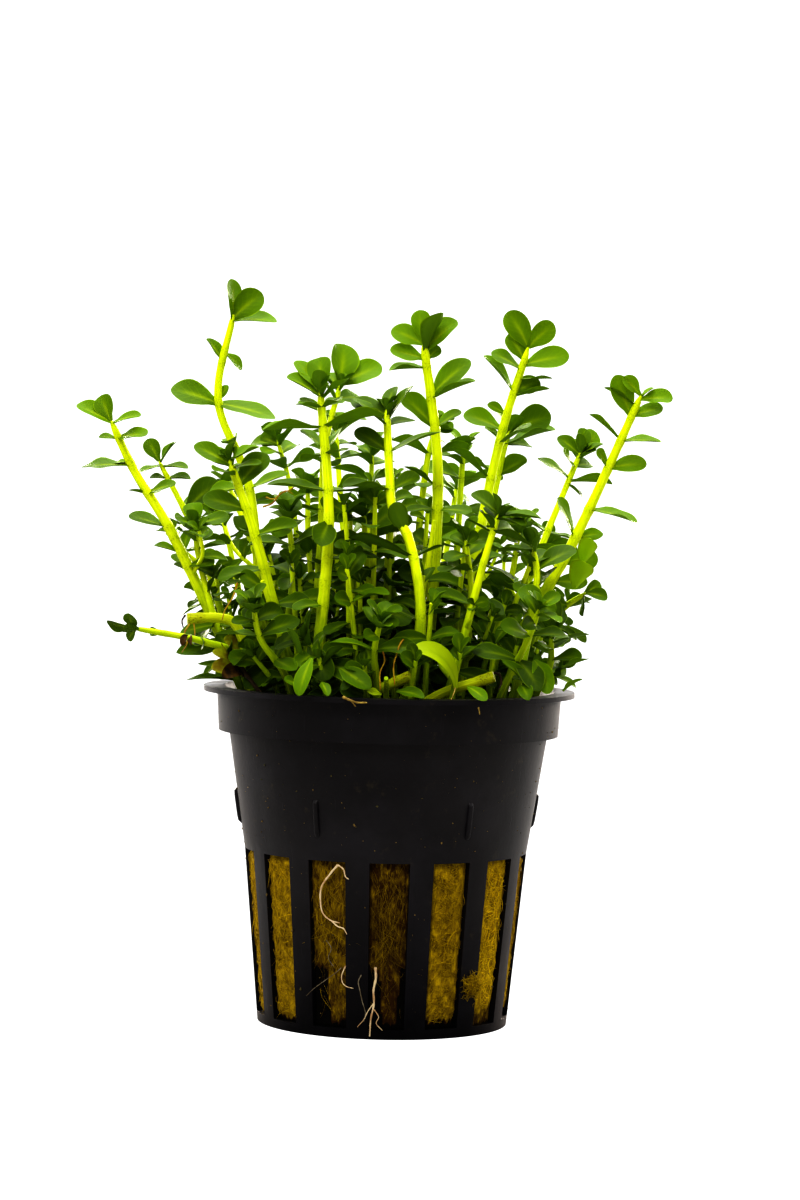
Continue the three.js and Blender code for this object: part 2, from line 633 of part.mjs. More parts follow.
// The pot's wall and floor, turned from one profile, with the slots left open between its bars
function potShell() {
  const bottomShare = SLOTS.bottomZ / SLOTS.topZ;
  const slotBottomRadius = POT.footRadius + (POT.slotTopRadius - POT.footRadius) * bottomShare;
  const underFlange = POT.height - POT.flangeThickness;
  const profile = [
    [0, 0],
    [POT.footRadius, 0],
    [slotBottomRadius, SLOTS.bottomZ],
    [POT.slotTopRadius, SLOTS.topZ],
    [POT.bodyTopRadius, POT.collarZ],
    [POT.collarRadius, POT.collarZ],
    [POT.collarTopRadius, underFlange],
    [POT.flangeRadius, underFlange],
    [POT.flangeRadius, POT.height],
    [POT.collarTopRadius - POT.wall, POT.height],
    [POT.bodyTopRadius - POT.wall, POT.collarZ - POT.wall],
    [POT.slotTopRadius - POT.wall, SLOTS.topZ],
    [slotBottomRadius - POT.wall, SLOTS.bottomZ],
    [POT.footRadius - POT.wall, POT.floorThickness],
    [0, POT.floorThickness],
  ];
  const [outerLow, outerHigh, innerHigh, innerLow] = [2, 3, 11, 12];
  const pitch = 360 / SLOTS.count;
  const sectors = [];
  for (let k = 0; k < SLOTS.count; k++) {
    const start = SLOTS.firstTurn + k * pitch - SLOTS.width / 2;
    const step = SLOTS.width / SLOTS.facets;
    for (let i = 0; i < SLOTS.facets; i++)
      sectors.push({ turn: start + i * step, open: true, first: i === 0, last: i === SLOTS.facets - 1 });
    sectors.push({ turn: start + SLOTS.width, open: false });
  }
  const vertices = [];
  for (const { turn } of sectors)
    for (const [r, z] of profile) {
      vertices.push(new THREE.Vector3(r * Math.sin(rad(turn)), -r * Math.cos(rad(turn)), z));
    }
  const triangles = [];
  const quad = (a, b, c, d) => triangles.push([a, b, c], [a, c, d]);
  const steps = profile.length;
  sectors.forEach((sector, k) => {
    const here = k * steps;
    const next = ((k + 1) % sectors.length) * steps;
    for (let i = 0; i < steps - 1; i++) {
      if (sector.open && (i === outerLow || i === innerHigh)) continue;
      if (i === 0) triangles.push([here, next + 1, here + 1]);
      else if (i === steps - 2) triangles.push([here + i, next + i, here + i + 1]);
      else quad(here + i, next + i, next + i + 1, here + i + 1);
    }
    if (!sector.open) return;
    quad(here + outerLow, next + outerLow, next + innerLow, here + innerLow);
    quad(here + innerHigh, next + innerHigh, next + outerHigh, here + outerHigh);
    if (sector.first) quad(here + outerLow, here + innerLow, here + innerHigh, here + outerHigh);
    if (sector.last) quad(next + outerLow, next + outerHigh, next + innerHigh, next + innerLow);
  });
  return solidOf(meshGeometry(vertices, triangles));
}

function potSolid() {
  let solid = potShell();
  const long = FLOOR_SLOTS.outerRadius - FLOOR_SLOTS.innerRadius;
  for (let k = 0; k < FLOOR_SLOTS.count; k++) {
    const slot = new THREE.BoxGeometry(FLOOR_SLOTS.width, long, 4);
    slot.translate(0, -(FLOOR_SLOTS.innerRadius + long / 2), 0);
    solid = solid.subtract(solidOf(potTurn(slot, (360 * k) / FLOOR_SLOTS.count)));
  }
  const tall = LUGS.topZ - LUGS.bottomZ;
  const middle = (LUGS.topZ + LUGS.bottomZ) / 2;
  const taper = (POT.bodyTopRadius - POT.slotTopRadius) / (POT.collarZ - SLOTS.topZ);
  const wallRadius = POT.slotTopRadius + (middle - SLOTS.topZ) * taper;
  const rooted = POT.wall / 2;
  for (let k = 0; k < LUGS.count; k++) {
    const lug = new THREE.BoxGeometry(LUGS.width, LUGS.proud + rooted, tall);
    lug.rotateX(Math.atan(taper)).translate(0, -(wallRadius + (LUGS.proud - rooted) / 2), middle);
    solid = solid.add(solidOf(potTurn(lug, LUGS.firstTurn + (360 * k) / LUGS.count)));
  }
  return solid;
}

// The plug fills the pot to just under its rim
function plugSolid(stems) {
  const room = POT.wall + GAP + 0.05;
  const lowZ = POT.floorThickness + GAP;
  const topRadius = POT.bodyTopRadius - room - 0.2;
  let solid = lathe(
    [
      [0, lowZ],
      [POT.footRadius - room, lowZ],
      [POT.slotTopRadius - room - 0.1, SLOTS.topZ],
      [topRadius, POT.collarZ - POT.wall - 0.2],
      [topRadius - PLUG.edge, PLUG.topZ],
      [0, PLUG.topZ],
    ],
    PLUG.facets,
  );
  for (const stem of stems) solid = solid.subtract(socketSolid(stem));
  return solid;
}

// Materials
const finish = (color, roughness) => new THREE.MeshStandardMaterial({ color, roughness, metalness: 0 });
const POT_PLASTIC = finish(0x17161a, 0.42);
const ROCKWOOL = finish(0x8a6a14, 1);
const GREEN = finish(0x4f8a12, 0.5);
const CUT_GREEN = finish(0xa6c21e, 0.5);

function named(name, solid, material) {
  const mesh = new THREE.Mesh(geometryOf(solid), material);
  mesh.name = name;
  return mesh;
}

// The assembly
const plant = new THREE.Group();
const growing = [...SHOOTS, ...CUT_ENDS.map((cut) => ({ ...cut, radius: CUT_RADIUS }))];
const stems = growing.map(stemOf);
const leaves = growLeaves(stems);
const parts = stems.map((stem) => [tubeSolid(spansOf(stem), 0)]);
for (const { owner, leaf, below } of leaves) {
  const inside = leaf.origin.z < HIDDEN.topZ && Math.hypot(leaf.origin.x, leaf.origin.y) < HIDDEN.radius;
  const shortest = below < 1 ? LEAF.shortestAtTip : LEAF.shortestSolid;
  if (inside || leaf.length < shortest) continue;
  const root = stems[owner].total - Math.max(below, LEAF.rootBelowTip);
  const blade = leafSolid({ ...leaf, origin: spanPoint(stems[owner], root) });
  const crowded = parts.some((pieces, k) => k !== owner && pieces.some((piece) => overlaps(blade, piece)));
  if (!crowded) parts[owner].push(blade);
}

plant.add(named("pot", potSolid(), POT_PLASTIC));
plant.add(named("rockwool_plug", plugSolid(stems), ROCKWOOL));
parts.forEach((pieces, k) => {
  const material = k < SHOOTS.length ? GREEN : CUT_GREEN;
  plant.add(named(growing[k].name, wasm.Manifold.union(pieces), material));
});

export default plant;
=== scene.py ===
"""Green rotala in a small black net pot, photographed against white.

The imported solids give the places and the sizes. This script puts the visible surfaces over them: the
moulded pot, the fibrous plug, and for each shoot a jointed stem and its thin, cupped leaves.
Lengths are in millimetres until a mesh is made, and Blender's own units are metres.
"""

import logging
import math
from dataclasses import dataclass, field
from enum import Enum
from typing import Callable, Union

import bpy
import numpy as np
from mathutils import Matrix, Vector


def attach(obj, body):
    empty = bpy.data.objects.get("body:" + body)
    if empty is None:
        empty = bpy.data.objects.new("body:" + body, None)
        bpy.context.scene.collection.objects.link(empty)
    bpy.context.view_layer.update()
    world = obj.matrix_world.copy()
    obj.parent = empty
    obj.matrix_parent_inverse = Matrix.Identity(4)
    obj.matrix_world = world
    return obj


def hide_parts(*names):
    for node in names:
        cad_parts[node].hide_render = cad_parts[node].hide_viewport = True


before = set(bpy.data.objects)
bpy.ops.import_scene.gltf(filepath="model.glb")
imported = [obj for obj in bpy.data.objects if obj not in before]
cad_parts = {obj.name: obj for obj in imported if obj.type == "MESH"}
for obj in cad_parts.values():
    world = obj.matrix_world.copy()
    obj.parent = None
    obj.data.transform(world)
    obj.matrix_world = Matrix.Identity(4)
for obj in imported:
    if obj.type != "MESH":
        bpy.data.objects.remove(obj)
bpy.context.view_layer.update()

LOG = logging.getLogger("green_rotala")
MM = 0.001
BODY = "root"

Points = np.ndarray
Faces = list[list[int]]
Row = tuple[float, ...]
Colour = tuple[float, float, float]
Socket = bpy.types.NodeSocket
Material = bpy.types.Material
Piece = bpy.types.Object


class Slot(Enum):
    """The record's material slots."""

    POT = "pot_plastic"
    PLUG = "rockwool"
    LEAF = "green_leaf"
    CUT = "cut_stem"


# Driving dimensions, as in the solids


@dataclass(frozen=True)
class PotSizes:
    """The pot's radii and heights, and the turns of its slots and lugs, in millimetres and degrees."""

    height: float = 49.5
    wall: float = 0.9
    flange_radius: float = 27.5
    flange_thickness: float = 0.7
    collar_top_radius: float = 25.5
    collar_radius: float = 25.15
    collar_z: float = 43.0
    body_top_radius: float = 23.6
    slot_top_radius: float = 20.9
    foot_radius: float = 18.5
    floor_thickness: float = 1.0
    floor_margin: float = 5.0
    slot_count: int = 14
    slot_first_turn: float = 2.0
    slot_width: float = 16.0
    slot_bottom_z: float = 1.4
    slot_top_z: float = 25.6
    lug_count: int = 6
    lug_first_turn: float = -27.0
    lug_width: float = 1.2
    lug_bottom_z: float = 28.7
    lug_top_z: float = 34.7
    lug_proud: float = 0.55
    lug_sunk: float = 0.3
    floor_slot_count: int = 6
    floor_slot_inner: float = 5.0
    floor_slot_outer: float = 12.5

    def wall_radius(self, z: float) -> float:
        """Outer radius of the wall at a height below the collar.

        Args:
            z: the height.
        Returns:
            the radius.
        """
        if z < self.slot_top_z:
            share = z / self.slot_top_z
            return self.foot_radius + (self.slot_top_radius - self.foot_radius) * share
        share = (z - self.slot_top_z) / (self.collar_z - self.slot_top_z)
        return self.slot_top_radius + (self.body_top_radius - self.slot_top_radius) * share


POT = PotSizes()
STEM_SAMPLES = 80
LEAF_FOLD = 16.0
LEAF_CURL = 24.0
LEAF_WIDTH_SHARE = 0.64
CLEAR_RIM = (22.4, 29.0)
CLEAR_PLUG = (23.0, 45.8)
PLAIN_RADIUS = (0.65, 0.42)
CUT_RADIUS = (0.72, 0.72)


@dataclass(frozen=True)
class ShootPlan:
    """One shoot, as given.

    path holds points that the stem passes through, from the plug to the tip. rows holds
    (mm below the tip, length, rise, how far the face turns to the front, turns of the leaves).
    turn is that of a plain shoot's first pair, and tone says how much older its leaves look.
    Above open_z, no extra leaf of another shoot stands before the stem. A bare tip has no buds.
    """

    name: str
    path: list
    radius: tuple[float, float] = PLAIN_RADIUS
    rows: list[Row] = field(default_factory=list)
    turn: float = 0.0
    tone: float = 0.1
    open_z: float = math.inf
    bare_tip: bool = False

    @property
    def is_cut(self) -> bool:
        """Whether it is a cut stem, which has no leaves."""
        return self.radius == CUT_RADIUS


SHOOTS = [
    ShootPlan("shoot_left_outer",
              [[-16.5, -1.5, 40], [-24, -1.5, 54.6], [-32.4, -5, 71.7],
               [-37.9, -5.5, 80.5], [-41.6, -6, 88]], (1, 0.6), [
        (0, 4.6, 74, 0, 90), (0.2, 5.6, 53, 30, 178), (0.3, 4.6, -4, 15, -5), (2.6, 5.6, -6, 25, -40),
        (2.8, 2.8, 33, 18, 182), (6.6, 2.8, 28, 0, 150), (7, 7, 28, 14, 180), (11.8, 5.4, -8, 30, -35),
        (11.8, 2.8, 45, 0, 195), (17.7, 5.8, 46, 10, 182), (19.6, 6, 8, 0, 60), (21.9, 4.4, 45, 18, 182),
        (24, 5, 5, 10, -10), (30, 4.2, 0, 0, 200, 20),
    ], tone=0.05, open_z=61.0, bare_tip=True),
    ShootPlan("shoot_tallest",
              [[-11, 3, 40], [-18.3, 4, 54.5], [-21.5, 5, 78.1],
               [-26.5, 4, 91.5], [-24.5, 3, 104.4]], (0.85, 0.55), [
        (0.8, 6.3, 84, 20, 180), (0.7, 5.8, 60, 70, 10), (0.9, 7, 17, 15, 0), (7, 4.2, 46, 32, 174),
        (5.8, 3.8, -21, 35, 16), (13.5, 7.4, 32, 55, 180), (13.5, 9, -18, 30, 0), (13.2, 3, 58, 60, 20),
        (20, 5, 20, 0, 90, -90), (27, 6, 12, 20, 0, 180), (34, 6, 10, 0, 80, -100), (41, 5, 5, 0, 0, 180),
    ], tone=0.12, bare_tip=True),
    ShootPlan("shoot_left_front",
              [[-9.5, -8.5, 40], [-14.8, -10, 53.8],
               [-19.4, -13, 70.5], [-23.8, -13, 82.7]], (1.05, 0.6), [
        (0, 4, 40, 20, 150), (0, 4.6, 8, 20, 0), (0.8, 5.8, 50, 50, 185), (1.2, 4.6, -3, 10, -20),
        (4, 6.6, 36, 60, 8), (7.6, 7, 38, 40, 182), (11.5, 6.4, 4, 30, -10), (16.5, 7, 6, 10, 180),
        (22, 5.6, 0, 30, -15), (27.5, 8.8, 10, 0, 182), (32.5, 6.4, -10, 40, -65),
    ], tone=0.25, open_z=53.0),
    ShootPlan("shoot_centre_left",
              [[-9, -12.5, 40], [-10.3, -13, 52.3], [-9.2, -14, 73.8], [-10.9, -12, 93]], (1, 0.65), [
        (0, 6, 58, 20, 148), (0, 5.6, 70, 0, 88), (0.4, 3.6, 66, 0, -80), (0.8, 5.6, 36, 40, 200),
        (1.2, 5, 34, 0, -25), (2.4, 4.6, 8, 15, -135, -45), (5.3, 8.6, 6, 0, 178, 2),
        (8.8, 5.6, 50, 0, 142, 40), (9.2, 5, 2, 0, -50, 130), (14.6, 8.6, 14, 10, 5, 176),
        (19, 5.8, -30, 30, -105), (24.4, 7.4, 8, 15, 0), (28, 5.4, 10, 0, 75), (31, 5.2, 6, 20, 184),
        (35, 6, 10, 20, -20),
    ], tone=0.12, open_z=60.4),
    ShootPlan("shoot_centre_front",
              [[-1, -12.5, 40], [3.6, -14.5, 53], [4.3, -15.5, 62], [2.5, -15, 71.5],
               [0, -13.5, 76], [-0.6, -12.2, 80.5], [-1.3, -10, 90.5]], (0.9, 0.6), [
        (0, 4.6, 60, 0, 60), (0.7, 5.6, 30, 60, 170), (1.6, 6, 14, 40, 190), (1.6, 6.6, 54, 40, -20),
        (6.2, 6, 40, 50, 180), (6.2, 7.8, 24, 25, -5), (11.9, 4.6, 28, 50, 0), (11.9, 7.4, 4, 15, 182),
        (18.9, 5, 58, 0, -85), (22.6, 9.4, 10, 0, 180), (22.6, 5.4, 12, 0, 30), (31, 5.6, 8, 0, 2),
        (32, 7.4, 26, 10, 174),
    ], tone=0.55, open_z=63.6),
    ShootPlan("shoot_centre_tall",
              [[4, -3, 40], [5.6, -2, 55.4], [6.4, -3, 81.2], [3.9, -4, 100.6]], (1, 0.7), [
        (0, 5.4, 74, 0, 100), (0.2, 5.2, 34, 60, 168), (1.2, 6.8, 40, 40, 12), (1.4, 6.6, 60, 10, -38),
        (2.4, 5.2, 24, 50, 184), (2.6, 3, 40, 60, 20), (3.6, 5.8, 8, 0, 178), (7.9, 7.6, 40, 45, 2),
        (8.2, 7, 18, 10, -16), (12.6, 7, 56, 40, 174), (12.6, 4.6, 28, 20, 4), (21.3, 5.6, 38, 0, 175),
        (24.6, 5.2, 2, 20, 205, -22), (31, 6, 10, 0, 110),
    ], tone=0.05, open_z=68.0, bare_tip=True),
    ShootPlan("shoot_right_tall",
              [[7, 3.5, 40], [9.8, 4, 55.2], [15.3, 5, 85.2], [19.5, 4, 100.6]], (1.05, 0.55), [
        (0, 6.4, 51, 75, 165), (0, 5.2, 62, 75, 25), (2, 4.4, 44, 50, 165), (2.8, 6.8, 36, 45, 0),
        (3.4, 5.2, 15, 20, 180), (5, 5, 22, 0, 10), (6.9, 6.9, 36, 15, 180), (7, 4.6, 45, 60, 20),
        (7.6, 6, 30, 5, -5), (10.6, 3.2, 20, 60, 170), (12.9, 6, 14, 35, 178), (15, 6.4, 40, 20, -38),
        (20.5, 7.4, 30, 0, 178), (27.6, 6, 12, 0, 20), (34, 6.4, 8, 0, 170),
    ], tone=0.08, bare_tip=True),
    ShootPlan("shoot_right_outer",
              [[13, -1.5, 40], [17.7, -2, 54.9], [26.8, -4, 72.5], [35.8, -6, 93.5]], (1.05, 0.6), [
        (0, 3.8, 28, 60, 178), (0, 2.2, 60, 0, 20), (0.6, 4.8, 31, 30, 0), (1.4, 5.6, 7, 0, 170),
        (3.4, 6.2, 46, 78, -178), (3.2, 4.8, 42, 45, -5), (7, 6.2, 21, 0, 180), (7.2, 6, 28, 12, 0),
        (11.6, 5.8, 36, 50, -10), (11.6, 3.6, 40, 40, 200), (18.2, 7.6, 14, 10, 0),
        (23, 6.4, 42, 30, -165), (23, 4.4, 40, 50, 12), (27, 5.2, 38, 70, 8), (30.4, 5.6, 30, 70, 5),
        (36, 5.6, 10, 20, 190),
    ], tone=-0.25, open_z=64.0, bare_tip=True),
    ShootPlan("shoot_right_front_small",
              [[5.5, -12, 40], [9, -15, 51.5], [13.2, -16, 68.9], [15.2, -15, 75.8]], (0.75, 0.5), [
        (0, 5, 26, 45, 168), (0, 6, 14, 20, -2), (0.6, 4.8, 0, 20, -35), (2.6, 6.6, -4, 0, -6),
        (2.8, 5, 14, 0, 150), (7.6, 5, -6, 0, 0), (13.6, 6, 6, 20, 180), (19, 4.6, 10, 0, -100),
        (23.6, 6.6, -6, 30, 0),
    ], tone=0.35, open_z=64.0),
    ShootPlan("shoot_right_inner",
              [[13, 7, 40], [17.3, 8, 55.2], [21.8, 9, 69.1], [28, 10, 85.2]], (0.7, 0.45), [
        (0, 4.8, 60, 40, 60), (0, 4, 72, 0, 120), (0.4, 4.4, 25, 50, 180), (0.4, 4.2, 48, 30, -15),
        (4.2, 6, 15, 20, 180), (4.6, 6.8, 24, 0, 0), (5, 3.4, -15, 0, -30), (13, 5.4, 10, 10, 170, 20),
        (20, 5.4, 8, 0, 90, -80), (27, 5.6, 5, 0, 0, 180),
    ], tone=0.2),
    ShootPlan("shoot_right_front",
              [[14.5, -11, 40], [18.3, -13.6, 50.5], [20.8, -16, 65], [20.3, -15, 71.3]], (0.85, 0.45), [
        (0, 3.6, 70, 0, 100), (0.4, 5.4, 16, 20, 182), (3.6, 7, 36, 30, 10), (6.2, 4.4, 10, 20, 190),
        (6.2, 4.2, 58, 0, 0), (8.2, 5.2, 0, 20, -62), (13, 5, 8, 0, 200, 15), (19.6, 7, 34, 0, -115),
    ], open_z=55.0),
    ShootPlan("shoot_left_second",
              [[-16, 7, 40], [-24, 9, 55.7], [-29.6, 10, 71], [-35.5, 9, 82.4]], (0.65, 0.45), [
        (0, 4, 76, 0, 90), (0.2, 3.8, 30, 0, 15), (0.6, 4.2, 12, 20, -140), (0.8, 4, -27, 0, -5),
        (2.8, 3.6, -24, 16, 0), (2.8, 2.8, 30, 16, 185), (8.5, 7.2, 20, 40, 0), (11.6, 6, 50, 0, 180),
        (18, 5, 8, 0, 90, -90), (24, 5.2, 5, 0, 0, 180),
    ], tone=0.5, bare_tip=True),
    ShootPlan("shoot_left_small",
              [[-18, -4.8, 40], [-25, -5.2, 57], [-28.4, -3.6, 68], [-29.1, -3.4, 73]], (0.6, 0.45), [
        (0, 5, 14, 40, 180, 0), (0, 4.2, 40, 0, 92), (0.4, 3.8, 2, 0, -88), (3.4, 4.2, 2, 10, 192, -12),
        (6.6, 3.8, 4, 10, 180, -32),
    ]),
    ShootPlan("shoot_left_thin",
              [[-13, 11.5, 40], [-21, 12, 55.6], [-25.5, 15, 72], [-27.3, 15, 76.4]], (0.6, 0.4), [
        (0, 4.8, 26, 20, 175), (0, 4.4, 30, 20, 10), (0.8, 4, 12, 0, -80), (5.8, 5, 8, 0, 20, 200),
        (12.4, 5, 5, 0, 110, -70),
    ]),
    ShootPlan("shoot_right_behind",
              [[9, 10, 40], [11.3, 11, 56.4], [16.1, 12, 83.6], [17.5, 12, 88.3]], (0.8, 0.5), [
        (0, 6.2, 44, 70, 5), (0.2, 4.6, 40, 0, 150), (2.3, 8.4, 38, 0, 0), (7.1, 4.8, 48, 60, -10),
        (7.1, 5, 20, 0, 150), (14, 5.4, 10, 0, 60, 240), (22, 6, 8, 0, 0, 180), (30, 6, 8, 0, 90),
    ], tone=0.3),
    ShootPlan("shoot_right_low",
              [[16.5, 2.5, 40], [20.8, 3, 55.5], [25, 0.4, 61.4], [28.6, -3, 64.4]], (0.6, 0.45), [
        (0, 3.6, 30, 10, 0), (0.4, 4, -50, 0, -12), (0.4, 3.4, 30, 0, 80), (4, 6, 4, 30, 190),
        (5, 5, -4, 20, -80),
    ], bare_tip=True),
    ShootPlan("shoot_right_rim",
              [[17.6, -5.4, 40], [21.8, -6.4, 50.1], [23.5, -7.4, 54], [23.4, -8, 58.6]], (0.6, 0.45), [
        (0, 6, 84, 0, -92), (0.6, 4.6, 30, 20, 190), (1.4, 5.6, 14, 0, 0), (4, 5, 20, 20, -30),
        (5.4, 5, 10, 0, 60),
    ]),
    ShootPlan("shoot_left_low",
              [[-16, -11.4, 40], [-21.6, -9.8, 53.3],
               [-27.1, -12, 56.3], [-37, -14, 58.1]], (0.65, 0.45), [
        (0, 3.4, 28, 70, 0), (0, 4, 72, 60, 95), (0.3, 2.8, 20, 60, 180), (0.8, 3.4, 50, 30, -95),
        (4.2, 3, 40, 0, 90), (10.4, 3.6, 20, 20, -80, 110), (15, 4.4, 10, 0, 80, -60),
    ], tone=0.1, bare_tip=True),
    ShootPlan("shoot_front_low",
              [[-5.4, -15, 40], [-5.9, -17, 49.8], [-8.5, -18, 53.2], [-12, -19, 57.2]], (0.6, 0.45), [
        (0, 4.6, 24, 20, 178), (0, 4.4, 40, 0, 20), (0.8, 6.4, -52, 30, -120), (4.6, 6.4, -34, 30, -40),
        (5, 4.4, 10, 0, 150),
    ]),
    ShootPlan("shoot_beside_centre_left",
              [[-6, 0, 40], [-10.6, 0, 58], [-10.7, 1, 74],
               [-10.4, 2, 85], [-8.4, 3, 94.4]], (0.6, 0.45), [
        (0, 7, 40, 45, 22), (0, 6.6, 72, 0, 115), (0.6, 4.6, 30, 0, 170), (5, 5.2, 14, 20, 0, 180),
        (12, 5.4, 10, 0, 80, -95), (19, 6, 8, 0, 5, 185), (27, 5.8, 5, 0, 95, -85),
    ]),
    ShootPlan("shoot_behind_centre_tall",
              [[1.5, 7, 40], [2.6, 8, 56.3], [4.7, 9, 82], [6.4, 9, 88.8]], (0.7, 0.45), turn=15),
    ShootPlan("shoot_back_thin_right",
              [[6.5, 13, 40], [10, 14.5, 56.2],
               [9.8, 15.5, 68.1], [10.4, 16, 85.4]], (0.65, 0.45), turn=-10),
    ShootPlan("shoot_back_centre",
              [[-2.5, 9.6, 40], [-3.4, 10.6, 56.1],
               [-3.5, 12, 71.2], [-3.5, 14, 85]], (0.6, 0.4), turn=35),
    ShootPlan("shoot_back_left_small",
              [[-9, 12, 40], [-13, 12.4, 58], [-15.4, 14, 77], [-18, 15, 86.2]], (0.55, 0.35), turn=60),
    ShootPlan("shoot_mid_left", [[-13.4, 0, 40], [-15.4, -1.6, 54], [-14.6, -4, 66], [-15.4, -5, 75]]),
    ShootPlan("shoot_mid_front", [[1.2, -8, 40], [0.2, -7.6, 55], [-3.4, -6, 66], [-4.4, -5, 76]]),
    ShootPlan("shoot_mid_right",
              [[9.6, -6.4, 40], [11, -8, 55], [11.6, -9, 64], [10.6, -10, 72]], turn=40),
    ShootPlan("shoot_mid_far_right", [[14.6, 2.4, 40], [14.6, 0.6, 55], [17.6, -1, 66], [18.6, -3, 74]]),
    ShootPlan("shoot_mid_back",
              [[-7.4, 6, 40], [-9.6, 6.4, 56], [-12.4, 7.4, 68], [-13, 8.4, 79]], turn=20),
    ShootPlan("shoot_front_left_corner",
              [[-12.4, -12.6, 40], [-14.6, -15, 51], [-18.4, -19, 57], [-19.6, -20.6, 62]]),
    ShootPlan("shoot_front_right_corner",
              [[12.6, -13.4, 40], [16.6, -15.8, 51], [19.6, -20.4, 58], [21, -23, 62.6]], turn=30),
    ShootPlan("shoot_front_centre_low",
              [[-1.4, -17.4, 40], [-1.8, -19.8, 51], [-2.2, -22.4, 56], [-1.4, -24, 60.4]]),
    ShootPlan("shoot_back_left_far",
              [[-12, 15, 40], [-17, 19.4, 56], [-22, 26, 70], [-26, 30, 79]], turn=10),
    ShootPlan("shoot_back_left_tall",
              [[-4.6, 16.6, 40], [-5.6, 20, 57], [-8, 27, 74], [-9.4, 31, 88]], turn=50),
    ShootPlan("shoot_back_right_tall",
              [[3.6, 17.6, 40], [6, 22, 58], [8.4, 28, 70], [9.8, 31, 80]], turn=25),
    ShootPlan("shoot_back_right_far",
              [[11.6, 14, 40], [16, 19, 54], [20.6, 25, 64], [24, 28.6, 71]], turn=70),
    ShootPlan("shoot_back_low_left",
              [[-14.6, 13.6, 40], [-16.8, 15.4, 50], [-23, 18.6, 56.6], [-28.6, 21.6, 62.4]], turn=35),
    ShootPlan("shoot_back_low_right",
              [[17, 8.6, 40], [20.2, 11.4, 52], [23.6, 14.6, 57.4], [27, 17.8, 62.2]], turn=15),
    ShootPlan("shoot_back_low",
              [[-1, 18.6, 40], [-1.6, 22, 53], [-2.6, 28.4, 58.4], [-2, 33, 63.4]], turn=45),
]

CUT_ENDS = [
    ShootPlan("cut_stem_left",
              [[-19, -8.8, 40], [-20.4, -7.8, 52], [-22.4, -8.4, 58.4],
               [-25, -8.9, 59.7], [-29.6, -9.8, 59.5]], CUT_RADIUS),
    ShootPlan("cut_stem_centre",
              [[-6.6, -18, 40], [-5.4, -18.2, 46], [-2.4, -18, 49.7], [3, -19.4, 52.4]], CUT_RADIUS),
    ShootPlan("cut_stem_right",
              [[1.6, -14.8, 40], [3.4, -16.4, 46], [7, -17.6, 49.6], [15, -18.6, 52.6]], CUT_RADIUS),
]


# Shader maths


def operator(name: str, swapped: bool = False) -> Callable:
    """Makes a method that stands for an operator by adding a Math node.

    Args:
        name: the node's operation.
        swapped: whether the value is on the operator's right.
    Returns:
        the method.
    """

    def apply(value: "Value", other: "Number" = 0.0) -> "Value":
        """Adds the node."""
        a, b = (other, value) if swapped else (value, other)
        return value.recipe.maths(name, a, b)

    return apply


class Value:
    """A number on its way through a material, so that its maths reads as a plain expression."""

    __add__ = operator("ADD")
    __radd__ = operator("ADD", swapped=True)
    __sub__ = operator("SUBTRACT")
    __rsub__ = operator("SUBTRACT", swapped=True)
    __mul__ = operator("MULTIPLY")
    __rmul__ = operator("MULTIPLY", swapped=True)
    __pow__ = operator("POWER")
    __abs__ = operator("ABSOLUTE")

    def __init__(self, recipe: "Recipe", socket: Socket) -> None:
        """Keeps the socket and the material that it belongs to."""
        self.recipe = recipe
        self.socket = socket


Number = Union[float, Value]
Feed = Union[float, Value, tuple, Socket]


